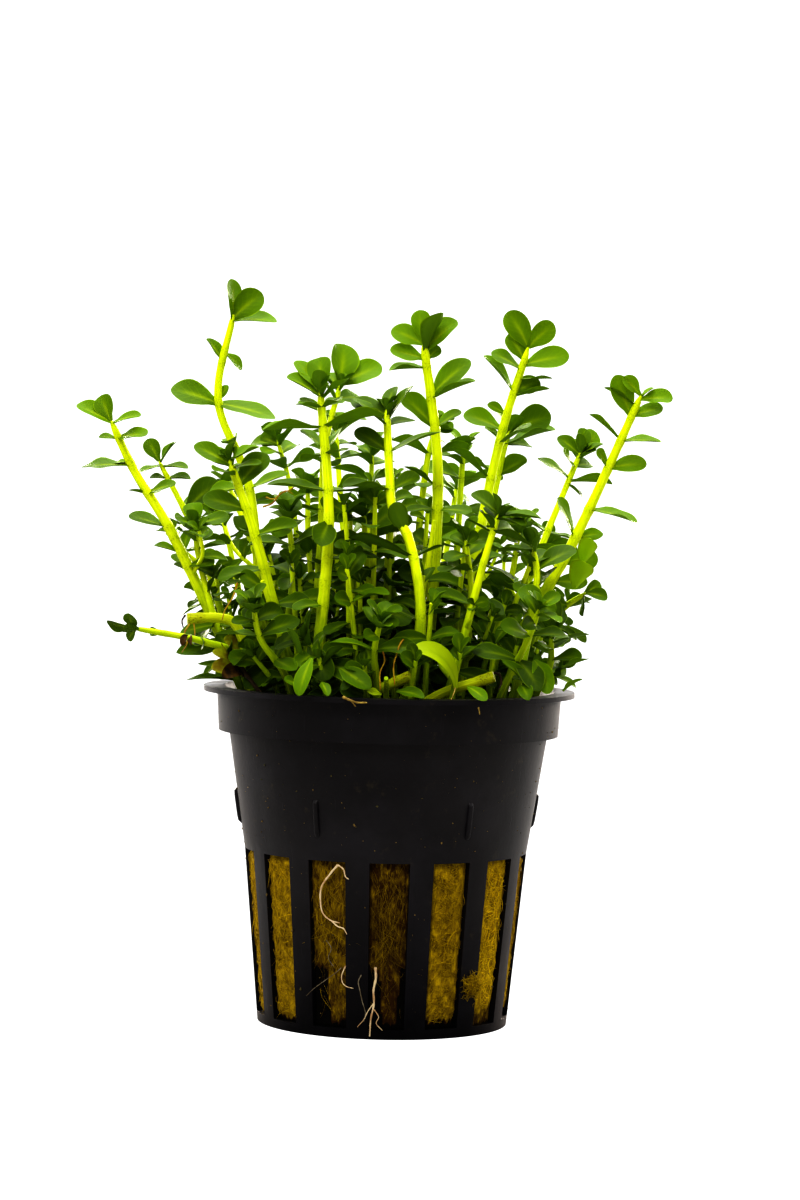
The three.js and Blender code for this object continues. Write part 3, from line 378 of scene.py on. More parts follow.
class Recipe:
    """A material or world under construction, with one method that makes any node."""

    def __init__(self, owner: Union[Material, bpy.types.World]) -> None:
        """Starts with no nodes.

        Args:
            owner: the new material or world.
        """
        self.owner = owner
        owner.use_nodes = True
        self.tree = owner.node_tree
        self.tree.nodes.clear()

    @classmethod
    def named(cls, name: str) -> "Recipe":
        """Starts a new material of that name."""
        return cls(bpy.data.materials.new(name))

    def node(self, kind: str, settings: dict[str, object], feeds: dict[object, Feed]) -> bpy.types.Node:
        """Makes one node.

        Args:
            kind: the node's type, without the ShaderNode in front.
            settings: properties that are set first.
            feeds: socket names or numbers, with the value or link each one takes.
        Returns:
            the node.
        """
        made = self.tree.nodes.new("ShaderNode" + kind)
        for key, value in settings.items():
            setattr(made, key, value)
        for key, value in feeds.items():
            self.feed(made.inputs[key], value)
        return made

    def feed(self, socket: Socket, value: Feed) -> None:
        """Links a value to a socket, or sets a constant on it.

        Args:
            socket: the socket.
            value: what it takes.
        """
        if isinstance(value, Value):
            value = value.socket
        if isinstance(value, Socket):
            self.tree.links.new(value, socket)
        elif isinstance(value, tuple) and socket.type == "RGBA":
            socket.default_value = (*value, 1.0)
        else:
            socket.default_value = value

    def maths(self, operation: str, a: Number, b: Number) -> Value:
        """One Math node on two numbers, the result kept in a Value."""
        made = self.node("Math", {"operation": operation}, {0: a, 1: b})
        return Value(self, made.outputs[0])

    def attribute(self, name: str, part: int = -1) -> Value:
        """A per-point value of the mesh.

        Args:
            name: the attribute's name.
            part: 0, 1 or 2 for one component of a vector, and -1 for a plain number.
        Returns:
            the value.
        """
        made = self.node("Attribute", {"attribute_name": name}, {})
        if part < 0:
            return Value(self, made.outputs["Fac"])
        return self.parts(made.outputs["Vector"])[part]

    def attribute_vector(self, name: str) -> Socket:
        """A per-point vector of the mesh, for a texture to read."""
        return self.node("Attribute", {"attribute_name": name}, {}).outputs["Vector"]

    def place(self) -> Socket:
        """The surface point in the object's own metres."""
        return self.node("TexCoord", {}, {}).outputs["Object"]

    def parts(self, place: Socket) -> list[Value]:
        """The three numbers of a vector."""
        return [Value(self, socket) for socket in self.node("SeparateXYZ", {}, {0: place}).outputs]

    def stretched(self, place: Socket, scale: Colour) -> Socket:
        """A place with each axis scaled on its own."""
        return self.node("Mapping", {}, {"Vector": place, "Scale": scale}).outputs[0]

    def noise(self, place: Socket, scale: float, detail: float = 3.0, rough: float = 0.5,
              warp: float = 0.0) -> Value:
        """Cloudy noise from 0 to 1."""
        feeds = {"Vector": place, "Scale": scale, "Detail": detail, "Roughness": rough, "Distortion": warp}
        return Value(self, self.node("TexNoise", {}, feeds).outputs[0])

    def between(self, value: Number, low: float, high: float) -> Value:
        """0 below low, 1 above high."""
        feeds = {0: value, 1: low, 2: high, 3: 0.0, 4: 1.0}
        return Value(self, self.node("MapRange", {"interpolation_type": "SMOOTHSTEP"}, feeds).outputs[0])

    def mix(self, share: Number, a: Feed, b: Feed) -> Socket:
        """A colour from a to b."""
        made = self.node("Mix", {"data_type": "RGBA"}, {0: share, 6: a, 7: b})
        return made.outputs[2]

    def bump(self, height: Value, depth_mm: float) -> Socket:
        """A Bump node's normal, for a relief of that many millimetres."""
        return self.node("Bump", {}, {"Height": height, "Distance": depth_mm * MM}).outputs[0]

    def is_seen(self) -> Value:
        """1 for what the camera sees straight on, and 0 for what only lights other things."""
        return Value(self, self.node("LightPath", {}, {}).outputs["Is Camera Ray"])

    def skin(self, colour: Feed, rough: Feed, relief: Socket, others: dict[object, Feed]) -> Socket:
        """A Principled shader."""
        feeds = {"Base Color": colour, "Roughness": rough, "Normal": relief, **others}
        return self.node("BsdfPrincipled", {}, feeds).outputs[0]

    def blend(self, share: Number, a: Socket, b: Socket) -> Socket:
        """A shader from a to b."""
        return self.node("MixShader", {}, {0: share, 1: a, 2: b}).outputs[0]

    def finish(self, shader: Socket) -> Material:
        """Links the shader to the surface and returns the material."""
        self.node("OutputMaterial", {}, {"Surface": shader})
        return self.owner


# Finishes


@dataclass(frozen=True)
class LeafFinish:
    """A thin green blade, lighter on its midrib and its underside, that lets light through, with a painted
    highlight along its rim and painted shade low in the bush.
    """

    name: str = "rotala_leaf"
    # young, grown and old run from light to dark; old also serves as painted shade for blades low in the bush
    # and inside it
    young: Colour = (0.125, 0.235, 0.0006)
    grown: Colour = (0.074, 0.145, 0.0006)
    old: Colour = (0.03, 0.06, 0.0006)
    underside: Colour = (0.14, 0.25, 0.015)
    midrib: Colour = (0.26, 0.36, 0.002)
    # rim: the colour of a painted highlight along the blade's edge, standing in for light shining through it
    # from behind
    rim: Colour = (0.3, 0.46, 0.001)
    through: Colour = (0.3, 0.42, 0.0006)
    through_share: float = 0.3
    vein_count: float = 40.0
    vein_slant: float = 0.34
    gloss: float = 1.14

    def make(self) -> Material:
        """Builds the material.

        Returns:
            the material.
        """
        recipe = Recipe.named(self.name)
        along = recipe.attribute("blade", 0)
        aside = recipe.attribute("blade", 1)
        under = recipe.attribute("blade", 2)
        # painted shade together with leaf aging: the value rises low down and inside the bush, where shade
        # falls among the leaves
        age = recipe.attribute("leaf_age_and_shade")
        grain = recipe.noise(recipe.place(), 700.0, 1.0)
        cloud = recipe.noise(recipe.place(), 240.0, 1.0)
        aged_and_shaded = age + (cloud - 0.5) * 0.35
        fresh = recipe.mix(recipe.between(aged_and_shaded, 0.0, 0.5), self.young, self.grown)
        face = recipe.mix(recipe.between(aged_and_shaded, 0.45, 1.05), fresh, self.old)
        rib = (1.0 - recipe.between(abs(aside), 0.0, 1.0)) ** 12.0
        rib = rib * (1.0 - recipe.between(along, 0.45, 0.95)) * 0.9
        fan = recipe.maths("SINE", (along - abs(aside) * self.vein_slant) * self.vein_count, 0.0)
        vein = recipe.between(fan, 0.5, 1.0) * (1.0 - recipe.between(abs(aside), 0.5, 0.8)) * 0.14
        light = recipe.maths("MINIMUM", rib + vein, 1.0) * (1.0 - recipe.between(age, 0.2, 0.9) * 0.62)
        face = recipe.mix(light, face, self.midrib)
        below = recipe.mix(recipe.between(aged_and_shaded, 0.2, 1.0) * 0.5, self.underside, self.grown)
        face = recipe.mix(under * 0.75, face, below)
        # painted highlight: the blade's edge is painted lighter, as if backlit, less so on older and shaded
        # blades
        edge = recipe.between(abs(aside), 0.9, 1.0) * (0.8 - age * 0.35)
        face = recipe.mix(edge, face, self.rim)
        sheen = 0.42 + grain * 0.08 + under * 0.14
        relief = recipe.bump(rib + vein * 0.6 + cloud, 0.03)
        blade = recipe.skin(face, sheen, relief, {"IOR": self.gloss})
        glow = recipe.node("BsdfTranslucent", {}, {"Color": self.through}).outputs[0]
        return recipe.finish(recipe.blend(self.through_share * (1.1 - age * 0.75), blade, glow))


@dataclass(frozen=True)
class StemFinish:
    """A juicy stem, painted bright yellow-green high up where light falls on it and duller low down as
    painted shade, with pale streaks and dark joints.
    """

    name: str = "rotala_stem"
    bright: Colour = (0.76, 0.88, 0.001)
    pale: Colour = (0.85, 0.92, 0.02)
    dull: Colour = (0.32, 0.46, 0.001)
    low: Colour = (0.15, 0.23, 0.001)
    joint: Colour = (0.2, 0.3, 0.001)
    gloss: float = 1.16

    def make(self) -> Material:
        """Builds the material.

        Returns:
            the material.
        """
        recipe = Recipe.named(self.name)
        height = recipe.attribute("stem_height")
        joint = recipe.attribute("stem_joint")
        place = recipe.attribute_vector("stem_place")
        streak = recipe.noise(recipe.stretched(place, (2.6, 2.6, 0.1)), 1.0, 4.0, 0.6)
        blotch = recipe.noise(recipe.stretched(place, (0.7, 0.7, 0.5)), 1.0, 2.0)
        # painted light and shade: the stem is painted bright high up, where light reaches it, and dull, then
        # dark near the plug, where shade falls
        lit = recipe.between(height + (blotch - 0.5) * 0.35, 0.12, 0.52)
        colour = recipe.mix(lit, self.dull, self.bright)
        colour = recipe.mix(recipe.between(height, 0.0, 0.2), self.low, colour)
        colour = recipe.mix(recipe.between(streak, 0.5, 0.72) * 0.55, colour, self.pale)
        colour = recipe.mix(recipe.between(1.0 - streak, 0.5, 0.74) * 0.62, colour, self.dull)
        specks = recipe.between(recipe.noise(place, 3.2, 3.0), 0.5, 0.66)
        colour = recipe.mix(joint * (0.25 + specks * 0.5), colour, self.joint)
        ridge = recipe.noise(recipe.stretched(place, (1.4, 1.4, 0.06)), 1.0, 1.0)
        relief = recipe.bump(ridge + joint * 0.4, 0.08)
        return recipe.finish(recipe.skin(colour, 0.4 + streak * 0.16, relief, {"IOR": self.gloss}))


@dataclass(frozen=True)
class PotFinish:
    """Moulded black plastic: satin, faintly violet, with smears, fine scratches and specks of dried dirt, and
    painted shade that darkens the wall towards its foot.
    """

    name: str = "pot_black_plastic"
    black: Colour = (0.0042, 0.0038, 0.005)
    smear: Colour = (0.014, 0.013, 0.016)
    dirt: Colour = (0.06, 0.045, 0.02)
    tint: Colour = (1.0, 0.93, 0.88)
    specular: float = 0.26
    # heights in metres over which the painted shade at the foot fades out
    shaded_foot_heights: tuple[float, float] = (0.002, 0.024)

    def make(self) -> Material:
        """Builds the material.

        Returns:
            the material.
        """
        recipe = Recipe.named(self.name)
        place = recipe.place()
        cloud = recipe.noise(place, 70.0, 4.0, 0.6)
        wet = recipe.between(recipe.noise(recipe.stretched(place, (1.0, 1.0, 0.45)), 120.0, 3.0), 0.5, 0.66)
        fine = recipe.noise(place, 1500.0, 2.0)
        scratch = recipe.noise(recipe.stretched(place, (4.0, 4.0, 0.25)), 420.0, 2.0)
        line = recipe.between(scratch, 0.68, 0.74)
        colour = recipe.mix(recipe.between(cloud, 0.4, 0.7) * 0.7, self.black, self.smear)
        colour = recipe.mix(line * 0.25, colour, self.smear)
        film = recipe.between(recipe.noise(place, 260.0, 5.0, 0.7), 0.6, 0.72)
        colour = recipe.mix(film * 0.25, colour, self.dirt)
        rough = 0.36 + cloud * 0.16 - wet * 0.16 + fine * 0.05
        # painted shade: towards the foot the wall turns half metallic, so its near-black base shows and it
        # looks darker near the floor
        foot = 1.0 - recipe.between(recipe.parts(place)[2], *self.shaded_foot_heights)
        patch = recipe.between(recipe.noise(place, 45.0, 2.0), 0.4, 0.65) * 0.2
        relief = recipe.bump(fine * 0.4 + line * 0.3, 0.03)
        others = {
            "Metallic": foot * 0.5 + patch,
            "Specular IOR Level": self.specular,
            "Specular Tint": self.tint,
        }
        return recipe.finish(recipe.skin(colour, rough, relief, others))


@dataclass(frozen=True)
class RockwoolFinish:
    """Mustard mineral wool: brown where it is wet and where shade is painted, painted pale straw where one
    slot is lit from the side, and painted black below the wool's edge, where shade falls.
    """

    name: str = "rockwool_fibre"
    straw: Colour = (0.95, 0.66, 0.008)
    gold: Colour = (0.58, 0.38, 0.003)
    ochre: Colour = (0.2, 0.12, 0.0015)
    brown: Colour = (0.04, 0.016, 0.001)
    black: Colour = (0.003, 0.002, 0.001)
    roughness: float = 0.85
    specular: float = 0.1

    def make(self) -> Material:
        """Builds the material.

        Returns:
            the material.
        """
        recipe = Recipe.named(self.name)
        wet = recipe.attribute("wool_wet")
        tone = recipe.attribute("wool_tone")
        place = recipe.place()
        clump = recipe.noise(place, 520.0, 5.0, 0.65)
        strand = recipe.noise(recipe.stretched(place, (2.4, 2.4, 0.5)), 900.0, 4.0, 0.7, 1.5)
        mixed = tone * 0.5 + clump * 0.5
        colour = recipe.mix(recipe.between(mixed, 0.25, 0.75), self.ochre, self.gold)
        # wet wool and painted shade: the higher the value, the browner the wool
        deep = recipe.between(wet + (strand - 0.5) * 1.1 + (clump - 0.5) * 0.8, 0.3, 0.95)
        colour = recipe.mix(deep, colour, self.brown)
        # painted shade: past 1 the wool is painted black, standing in for the dark gap below its edge
        colour = recipe.mix(recipe.between(wet, 1.05, 1.35), colour, self.black)
        # painted light: below zero the wool is painted pale straw, as if lit from the side
        colour = recipe.mix(recipe.between(0 - wet, 0.1, 0.5), colour, self.straw)
        relief = recipe.bump(strand + clump, 0.3)
        others = {"Specular IOR Level": self.specular}
        return recipe.finish(recipe.skin(colour, self.roughness, relief, others))


@dataclass(frozen=True)
class PlainFinish:
    """A small dull thing of one hue: a root, a crumb or a dead leaf, mottled between two colours."""

    name: str
    light: Colour
    dark: Colour
    scale: float = 700.0
    roughness: float = 0.6
    gloss: float = 1.2

    def make(self) -> Material:
        """Builds the material.

        Returns:
            the material.
        """
        recipe = Recipe.named(self.name)
        mottle = recipe.noise(recipe.place(), self.scale, 3.0, 0.6)
        colour = recipe.mix(recipe.between(mottle, 0.38, 0.64), self.light, self.dark)
        relief = recipe.bump(mottle, 0.08)
        return recipe.finish(recipe.skin(colour, self.roughness, relief, {"IOR": self.gloss}))


# Growth, by the same rules as the solids


class Dice:
    """Random numbers that any language repeats exactly."""

    MULTIPLIER = 1664525
    INCREMENT = 1013904223
    MODULUS = 4294967296
    SEED_STEP = 7919

    def __init__(self, seed: int) -> None:
        """Starts the row of numbers that belongs to a seed."""
        self.state = seed * self.SEED_STEP

    def between(self, low: float, high: float) -> float:
        """The next number, from low to high."""
        self.state = (self.state * self.MULTIPLIER + self.INCREMENT) % self.MODULUS
        return low + (high - low) * self.state / self.MODULUS


def unit(vector: Points) -> Points:
    """The vector at length 1."""
    return vector / np.linalg.norm(vector)


def heading(turn: float) -> Points:
    """The level direction at a turn in degrees from the x axis."""
    angle = math.radians(turn)
    return np.array([math.cos(angle), math.sin(angle), 0.0])


def pot_ways(angle: float) -> tuple[Points, Points]:
    """The ways out of the pot and along its wall, at an angle in radians from its front."""
    out = np.array([math.sin(angle), -math.cos(angle), 0.0])
    return out, np.array([math.cos(angle), math.sin(angle), 0.0])


def at_height(z: float) -> Points:
    """The point on the pot's axis at a height."""
    return np.array([0.0, 0.0, z])


def smooth_curve(path: list, samples: int) -> Points:
    """Points on a curve through the path's own points.

    Args:
        path: points in millimetres.
        samples: how many steps the curve has.
    Returns:
        samples + 1 points.
    """
    points = np.array(path, float)
    ends = np.vstack([2 * points[0] - points[1], points, 2 * points[-1] - points[-2]])
    spans = len(points) - 1
    places = np.arange(samples + 1) / samples * spans
    span = np.minimum(places.astype(int), spans - 1)
    t = (places - span)[:, None]
    before, start, stop, after = ends[span], ends[span + 1], ends[span + 2], ends[span + 3]
    leave = (stop - before) / 2
    arrive = (after - start) / 2
    square = -3 * start + 3 * stop - 2 * leave - arrive
    cube = 2 * start - 2 * stop + leave + arrive
    return start + leave * t + square * t**2 + cube * t**3


@dataclass
class Stem:
    """A stem's centre line with the length up to each sample."""

    plan: ShootPlan

    def __post_init__(self) -> None:
        """Works out the centre line."""
        self.samples = smooth_curve(self.plan.path, STEM_SAMPLES)
        steps = np.linalg.norm(np.diff(self.samples, axis=0), axis=1)
        self.lengths = np.concatenate([[0.0], np.cumsum(steps)])
        self.total = float(self.lengths[-1])

    def station(self, length: float) -> tuple[Points, Points, float]:
        """The stem at one place.

        Args:
            length: millimetres from the foot.
        Returns:
            point, direction and radius.
        """
        i = int(np.clip(np.searchsorted(self.lengths, length), 1, STEM_SAMPLES))
        span = self.lengths[i] - self.lengths[i - 1]
        share = min(1.0, max(0.0, (length - self.lengths[i - 1]) / span))
        point = self.samples[i - 1] * (1 - share) + self.samples[i] * share
        foot, tip = self.plan.radius
        radius = foot + (tip - foot) * length / self.total
        return point, unit(self.samples[i] - self.samples[i - 1]), radius


@dataclass
class Leaf:
    """One leaf: where it grows, how it stands, and the values that give it a shape of its own."""

    origin: Points
    along: Points
    turn: float
    length: float
    rise: float
    face: float
    curl: float
    below: float
    stem_radius: float

    def __post_init__(self) -> None:
        """Works out the leaf's own frame: out from the stem, up from its face, and across."""
        level = heading(self.turn)
        self.out = unit(level - self.along * level.dot(self.along))
        self.across = np.cross(self.out, self.along)
        self.roll = self.face if self.across[1] <= 0 else -self.face

    def surface(self, share: Points, aside: Points, lift: Points, ease: float = 1.0,
                twist: float = 0.0) -> Points:
        """Points of the blade.

        Args:
            share: how far along the midline, from 0 to 1.
            aside: millimetres to one side of the midline.
            lift: millimetres above the midline's own surface.
            ease: how much of the leaf's curl it has.
            twist: degrees that it turns about its midline on the way to its tip.
        Returns:
            one point for each.
        """
        rise = math.radians(self.rise)
        curl = math.radians(self.curl * ease)
        bent = rise - curl * share
        reach = self.length * (math.sin(rise) - np.sin(bent)) / curl
        height = self.length * (np.cos(bent) - math.cos(rise)) / curl
        roll = np.radians(self.roll + twist * share)
        sideways = aside * np.cos(roll) + lift * np.sin(roll)
        upward = lift * np.cos(roll) - aside * np.sin(roll)
        forward = (reach - upward * np.sin(bent))[:, None] * self.out
        above = (height + upward * np.cos(bent))[:, None] * self.along
        return self.origin + forward + above + sideways[:, None] * self.across

    def probes(self) -> Points:
        """Points that stand for the leaf when neighbours are kept apart.

        Returns:
            the points.
        """
        share = np.array([0.35, 0.65, 0.97, 0.5, 0.5, 0.8, 0.8])
        side = np.array([0, 0, 0, 0.9, -0.9, 0.75, -0.75])
        aside = side * self.length * LEAF_WIDTH_SHARE / 2
        return self.surface(share, aside, np.abs(aside) * math.tan(math.radians(LEAF_FOLD)))


WINDOWS = ((-31.0, -23.0, 58.0, 62.0), (-2.6, 4.6, 49.0, 54.0), (6.5, 16.8, 48.5, 54.2))
TRIES = [(0, 0), (16, 4), (-16, 4), (30, -8), (-30, -8), (0, 22), (46, 10), (-46, 10), (64, 0), (-64, 0)]


@dataclass(frozen=True)
class Room:
    """How far a leaf keeps from leaves of other shoots and from their stems, in millimetres.

    A leaf with open views doesn't stand in front of a cut stem or an open one.
    """

    leaf: float
    stem: float
    rim_z: float = 50.1
    open_views: bool = False


SOLID_ROOM = Room(1.25, 0.75, rim_z=51.0)
TIGHT_ROOM = Room(0.5, 0.2, open_views=True)
BUD_ROOM = Room(0.0, -1.0)
OPEN_HALF = 1.6
WINDOW_Y = -7.0

# Where each step's random numbers start; most add the shoot's own number

PLACED_SEED = 1
LOW_SEED = 101
BUD_SEED = 201
SIDE_SEED = 301
BLADE_SEED = 501
SMALL_SEED = 701
YOUNG_SEED = 4021
RIM_SEED = 6007


class TakenRoom:
    """Points that stems or leaves take up, with their shoots and how far each one reaches."""

    FAR = 2.0

    def __init__(self) -> None:
        """Starts with nothing taken."""
        self.points = np.zeros((0, 3))
        self.reaches = np.zeros(0)
        self.owners = np.zeros(0, int)

    def add(self, points: Points, owner: int, reach: float) -> None:
        """Takes up more room.

        Args:
            points: where.
            owner: the shoot's number.
            reach: how far round each point it goes.
        """
        count = len(points)
        self.points = np.vstack([self.points, points])
        self.reaches = np.concatenate([self.reaches, np.full(count, reach)])
        self.owners = np.concatenate([self.owners, np.full(count, owner)])

    def gap(self, points: Points, but: int = -1) -> float:
        """The smallest gap between points and what is taken.

        Args:
            points: the points.
            but: a shoot that doesn't count.
        Returns:
            the gap, or FAR if nothing is near.
        """
        low = points.min(axis=0) - self.FAR
        high = points.max(axis=0) + self.FAR
        near = np.all((self.points > low) & (self.points < high), axis=1) & (self.owners != but)
        if not near.any():
            return self.FAR
        gaps = np.linalg.norm(points[:, None] - self.points[near][None], axis=2)
        return float((gaps - self.reaches[near][None]).min())


class Growth:
    """Grows every leaf of the plant, each one clear of the pot, the plug and its neighbours."""

    PLAIN_STEPS = ((0, 3.8, 62), (1, 5.4, 34), (4.6, 6.4, 20), (9.4, 7, 12), (15, 6.8, 6))
    PLAIN_FOOT = 14
    PLACED_LOOSE = 3
    PLAIN_LOOSE = 12
    BUD_STEPS = ((-0.5, 1.7, 76), (0.1, 2.7, 62), (1, 3.6, 46), (2.3, 4.4, 24))
    BUD_CURL = 1.4
    BUD_FACE = 30
    LOW_STEP = 4.4
    LOW_Z = 47.5

    def __init__(self, plans: list[ShootPlan]) -> None:
        """Sets up the stems.

        Args:
            plans: everything that the solids have.
        """
        self.stems: list[Stem] = []
        self.leaves: list[list[Leaf]] = []
        self.stem_room = TakenRoom()
        self.leaf_room = TakenRoom()
        for plan in plans:
            self.add_stem(Stem(plan))

    def add_stem(self, stem: Stem) -> int:
        """Adds a shoot's stem.

        Args:
            stem: the stem.
        Returns:
            the shoot's number.
        """
        self.stems.append(stem)
        self.leaves.append([])
        owner = len(self.stems) - 1
        self.stem_room.add(stem.samples, owner, stem.plan.radius[0])
        return owner

    @staticmethod
    def hides_stub(points: Points) -> bool:
        """Says whether a leaf would stand in front of a cut stem."""
        x, y, z = points.T
        return any(np.any((y < WINDOW_Y) & (x > a) & (x < b) & (z > c) & (z < d)) for a, b, c, d in WINDOWS)

    def hides_stem(self, points: Points, owner: int) -> bool:
        """Says whether a leaf would stand in front of another shoot's stem where that one shows.

        Args:
            points: the leaf's probes.
            owner: the leaf's own shoot.
        Returns:
            True if it would.
        """
        x, y, z = points.T
        for k, stem in enumerate(self.stems):
            low = stem.plan.open_z
            if k == owner or z.max() <= low:
                continue
            across = np.interp(z, stem.samples[:, 2], stem.samples[:, 0])
            depth = np.interp(z, stem.samples[:, 2], stem.samples[:, 1])
            before = (np.abs(x - across) < OPEN_HALF) & (y < depth) & (z > low) & (z < stem.samples[-1, 2])
            if before.any():
                return True
        return False

    def is_clear(self, points: Points, owner: int, room: Room) -> bool:
        """Says whether a leaf keeps clear of everything that isn't its own shoot.

        Args:
            points: the leaf's probes.
            owner: the leaf's own shoot.
            room: how far it keeps from others.
        Returns:
            True if it does.
        """
        height = points[:, 2]
        radial = np.hypot(points[:, 0], points[:, 1])
        inner, outer = CLEAR_RIM
        plug_radius, plug_z = CLEAR_PLUG
        if np.any((height < room.rim_z) & (radial > inner) & (radial < outer)):
            return False
        if np.any((height < plug_z) & (radial < plug_radius)):
            return False
        if room.open_views and (self.hides_stub(points) or self.hides_stem(points, owner)):
            return False
        if self.stem_room.gap(points, owner) < room.stem:
            return False
        return self.leaf_room.gap(points, owner) >= room.leaf

    def rows_of(self, stem: Stem) -> list[Row]:
        """A shoot's listed rows, or pairs that cross each other up the stem.

        Args:
            stem: the shoot's stem.
        Returns:
            the rows, from the tip down.
        """
        if stem.plan.rows:
            return stem.plan.rows
        rows = []
        for k, (below, length, rise) in enumerate(self.PLAIN_STEPS):
            turn = stem.plan.turn + 90 * k
            if stem.total - below > self.PLAIN_FOOT:
                rows.append((below, length, rise, 0, turn, turn + 180))
        return rows

    def try_leaf(self, owner: int, row: Row, curl: float, room: Room) -> None:
        """Adds a leaf at the first of several turns where it is clear, if there is one.

        Args:
            owner: which shoot it belongs to.
            row: a row with one turn.
            curl: degrees that it bends down along its length.
            room: how far it keeps from others.
        """
        below, length, rise, face, turn = row
        stem = self.stems[owner]
        point, along, radius = stem.station(stem.total - below)
        for swing, higher in TRIES:
            leaf = Leaf(point, along, turn + swing, length, rise + higher, face, curl, below, radius)
            points = leaf.probes()
            if self.is_clear(points, owner, room):
                self.leaves[owner].append(leaf)
                self.leaf_room.add(points, owner, 0.0)
                return

    def living(self, seed: int) -> list[tuple[int, Stem, Dice]]:
        """Each shoot that isn't a cut stem, with random numbers of its own."""
        stems = enumerate(self.stems)
        return [(owner, stem, Dice(seed + owner)) for owner, stem in stems if not stem.plan.is_cut]

    def grow(self) -> None:
        """Grows the leaves that the solids have too."""
        for owner, stem, dice in self.living(PLACED_SEED):
            loose = self.PLACED_LOOSE if stem.plan.rows else self.PLAIN_LOOSE
            for below, length, rise, face, *turns in self.rows_of(stem):
                for turn in turns:
                    swing = dice.between(-loose, loose)
                    tilt = dice.between(-loose, loose) / 2
                    size = length * dice.between(0.94, 1.06)
                    curl = LEAF_CURL * dice.between(0.5, 1.5)
                    roll = face + dice.between(-loose, loose)
                    self.try_leaf(owner, (below, size, rise + tilt, roll, turn + swing), curl, SOLID_ROOM)

    def add_buds(self) -> None:
        """Adds the smallest pairs in the middle of a tip, and two pairs that hide the stem's end."""
        for owner, stem, dice in self.living(BUD_SEED):
            if stem.plan.bare_tip:
                continue
            first = dice.between(0, 180)
            front = dice.between(-65, -35)
            turns = (first, first + 90, front, front - dice.between(60, 90))
            for (below, length, rise), turn in zip(self.BUD_STEPS, turns):
                for half_turn in (0, 180):
                    size = length * dice.between(0.85, 1.25)
                    face = dice.between(-15, 15) + (self.BUD_FACE if below >= 1 else 0)
                    row = (below, size, rise + dice.between(-8, 8), face, turn + half_turn)
                    self.try_leaf(owner, row, LEAF_CURL * self.BUD_CURL, BUD_ROOM)

    def thicken(self) -> None:
        """Adds the old leaves low down, inside the bush."""
        for owner, stem, dice in self.living(LOW_SEED):
            below, _, _, _, turn, *_ = self.rows_of(stem)[-1]
            below += self.LOW_STEP * 0.8
            turn += 90
            while stem.total - below > 0 and stem.station(stem.total - below)[0][2] > self.LOW_Z:
                for half_turn in (0, 180):
                    swing = dice.between(-25, 25)
                    size = dice.between(5.0, 8.0)
                    rise = dice.between(-20, 38)
                    face = dice.between(-15, 75)
                    curl = LEAF_CURL * dice.between(0.6, 1.8)
                    row = (below, size, rise, face, turn + half_turn + swing)
                    self.try_leaf(owner, row, curl, TIGHT_ROOM)
                below += self.LOW_STEP * dice.between(0.8, 1.2)
                turn += 90


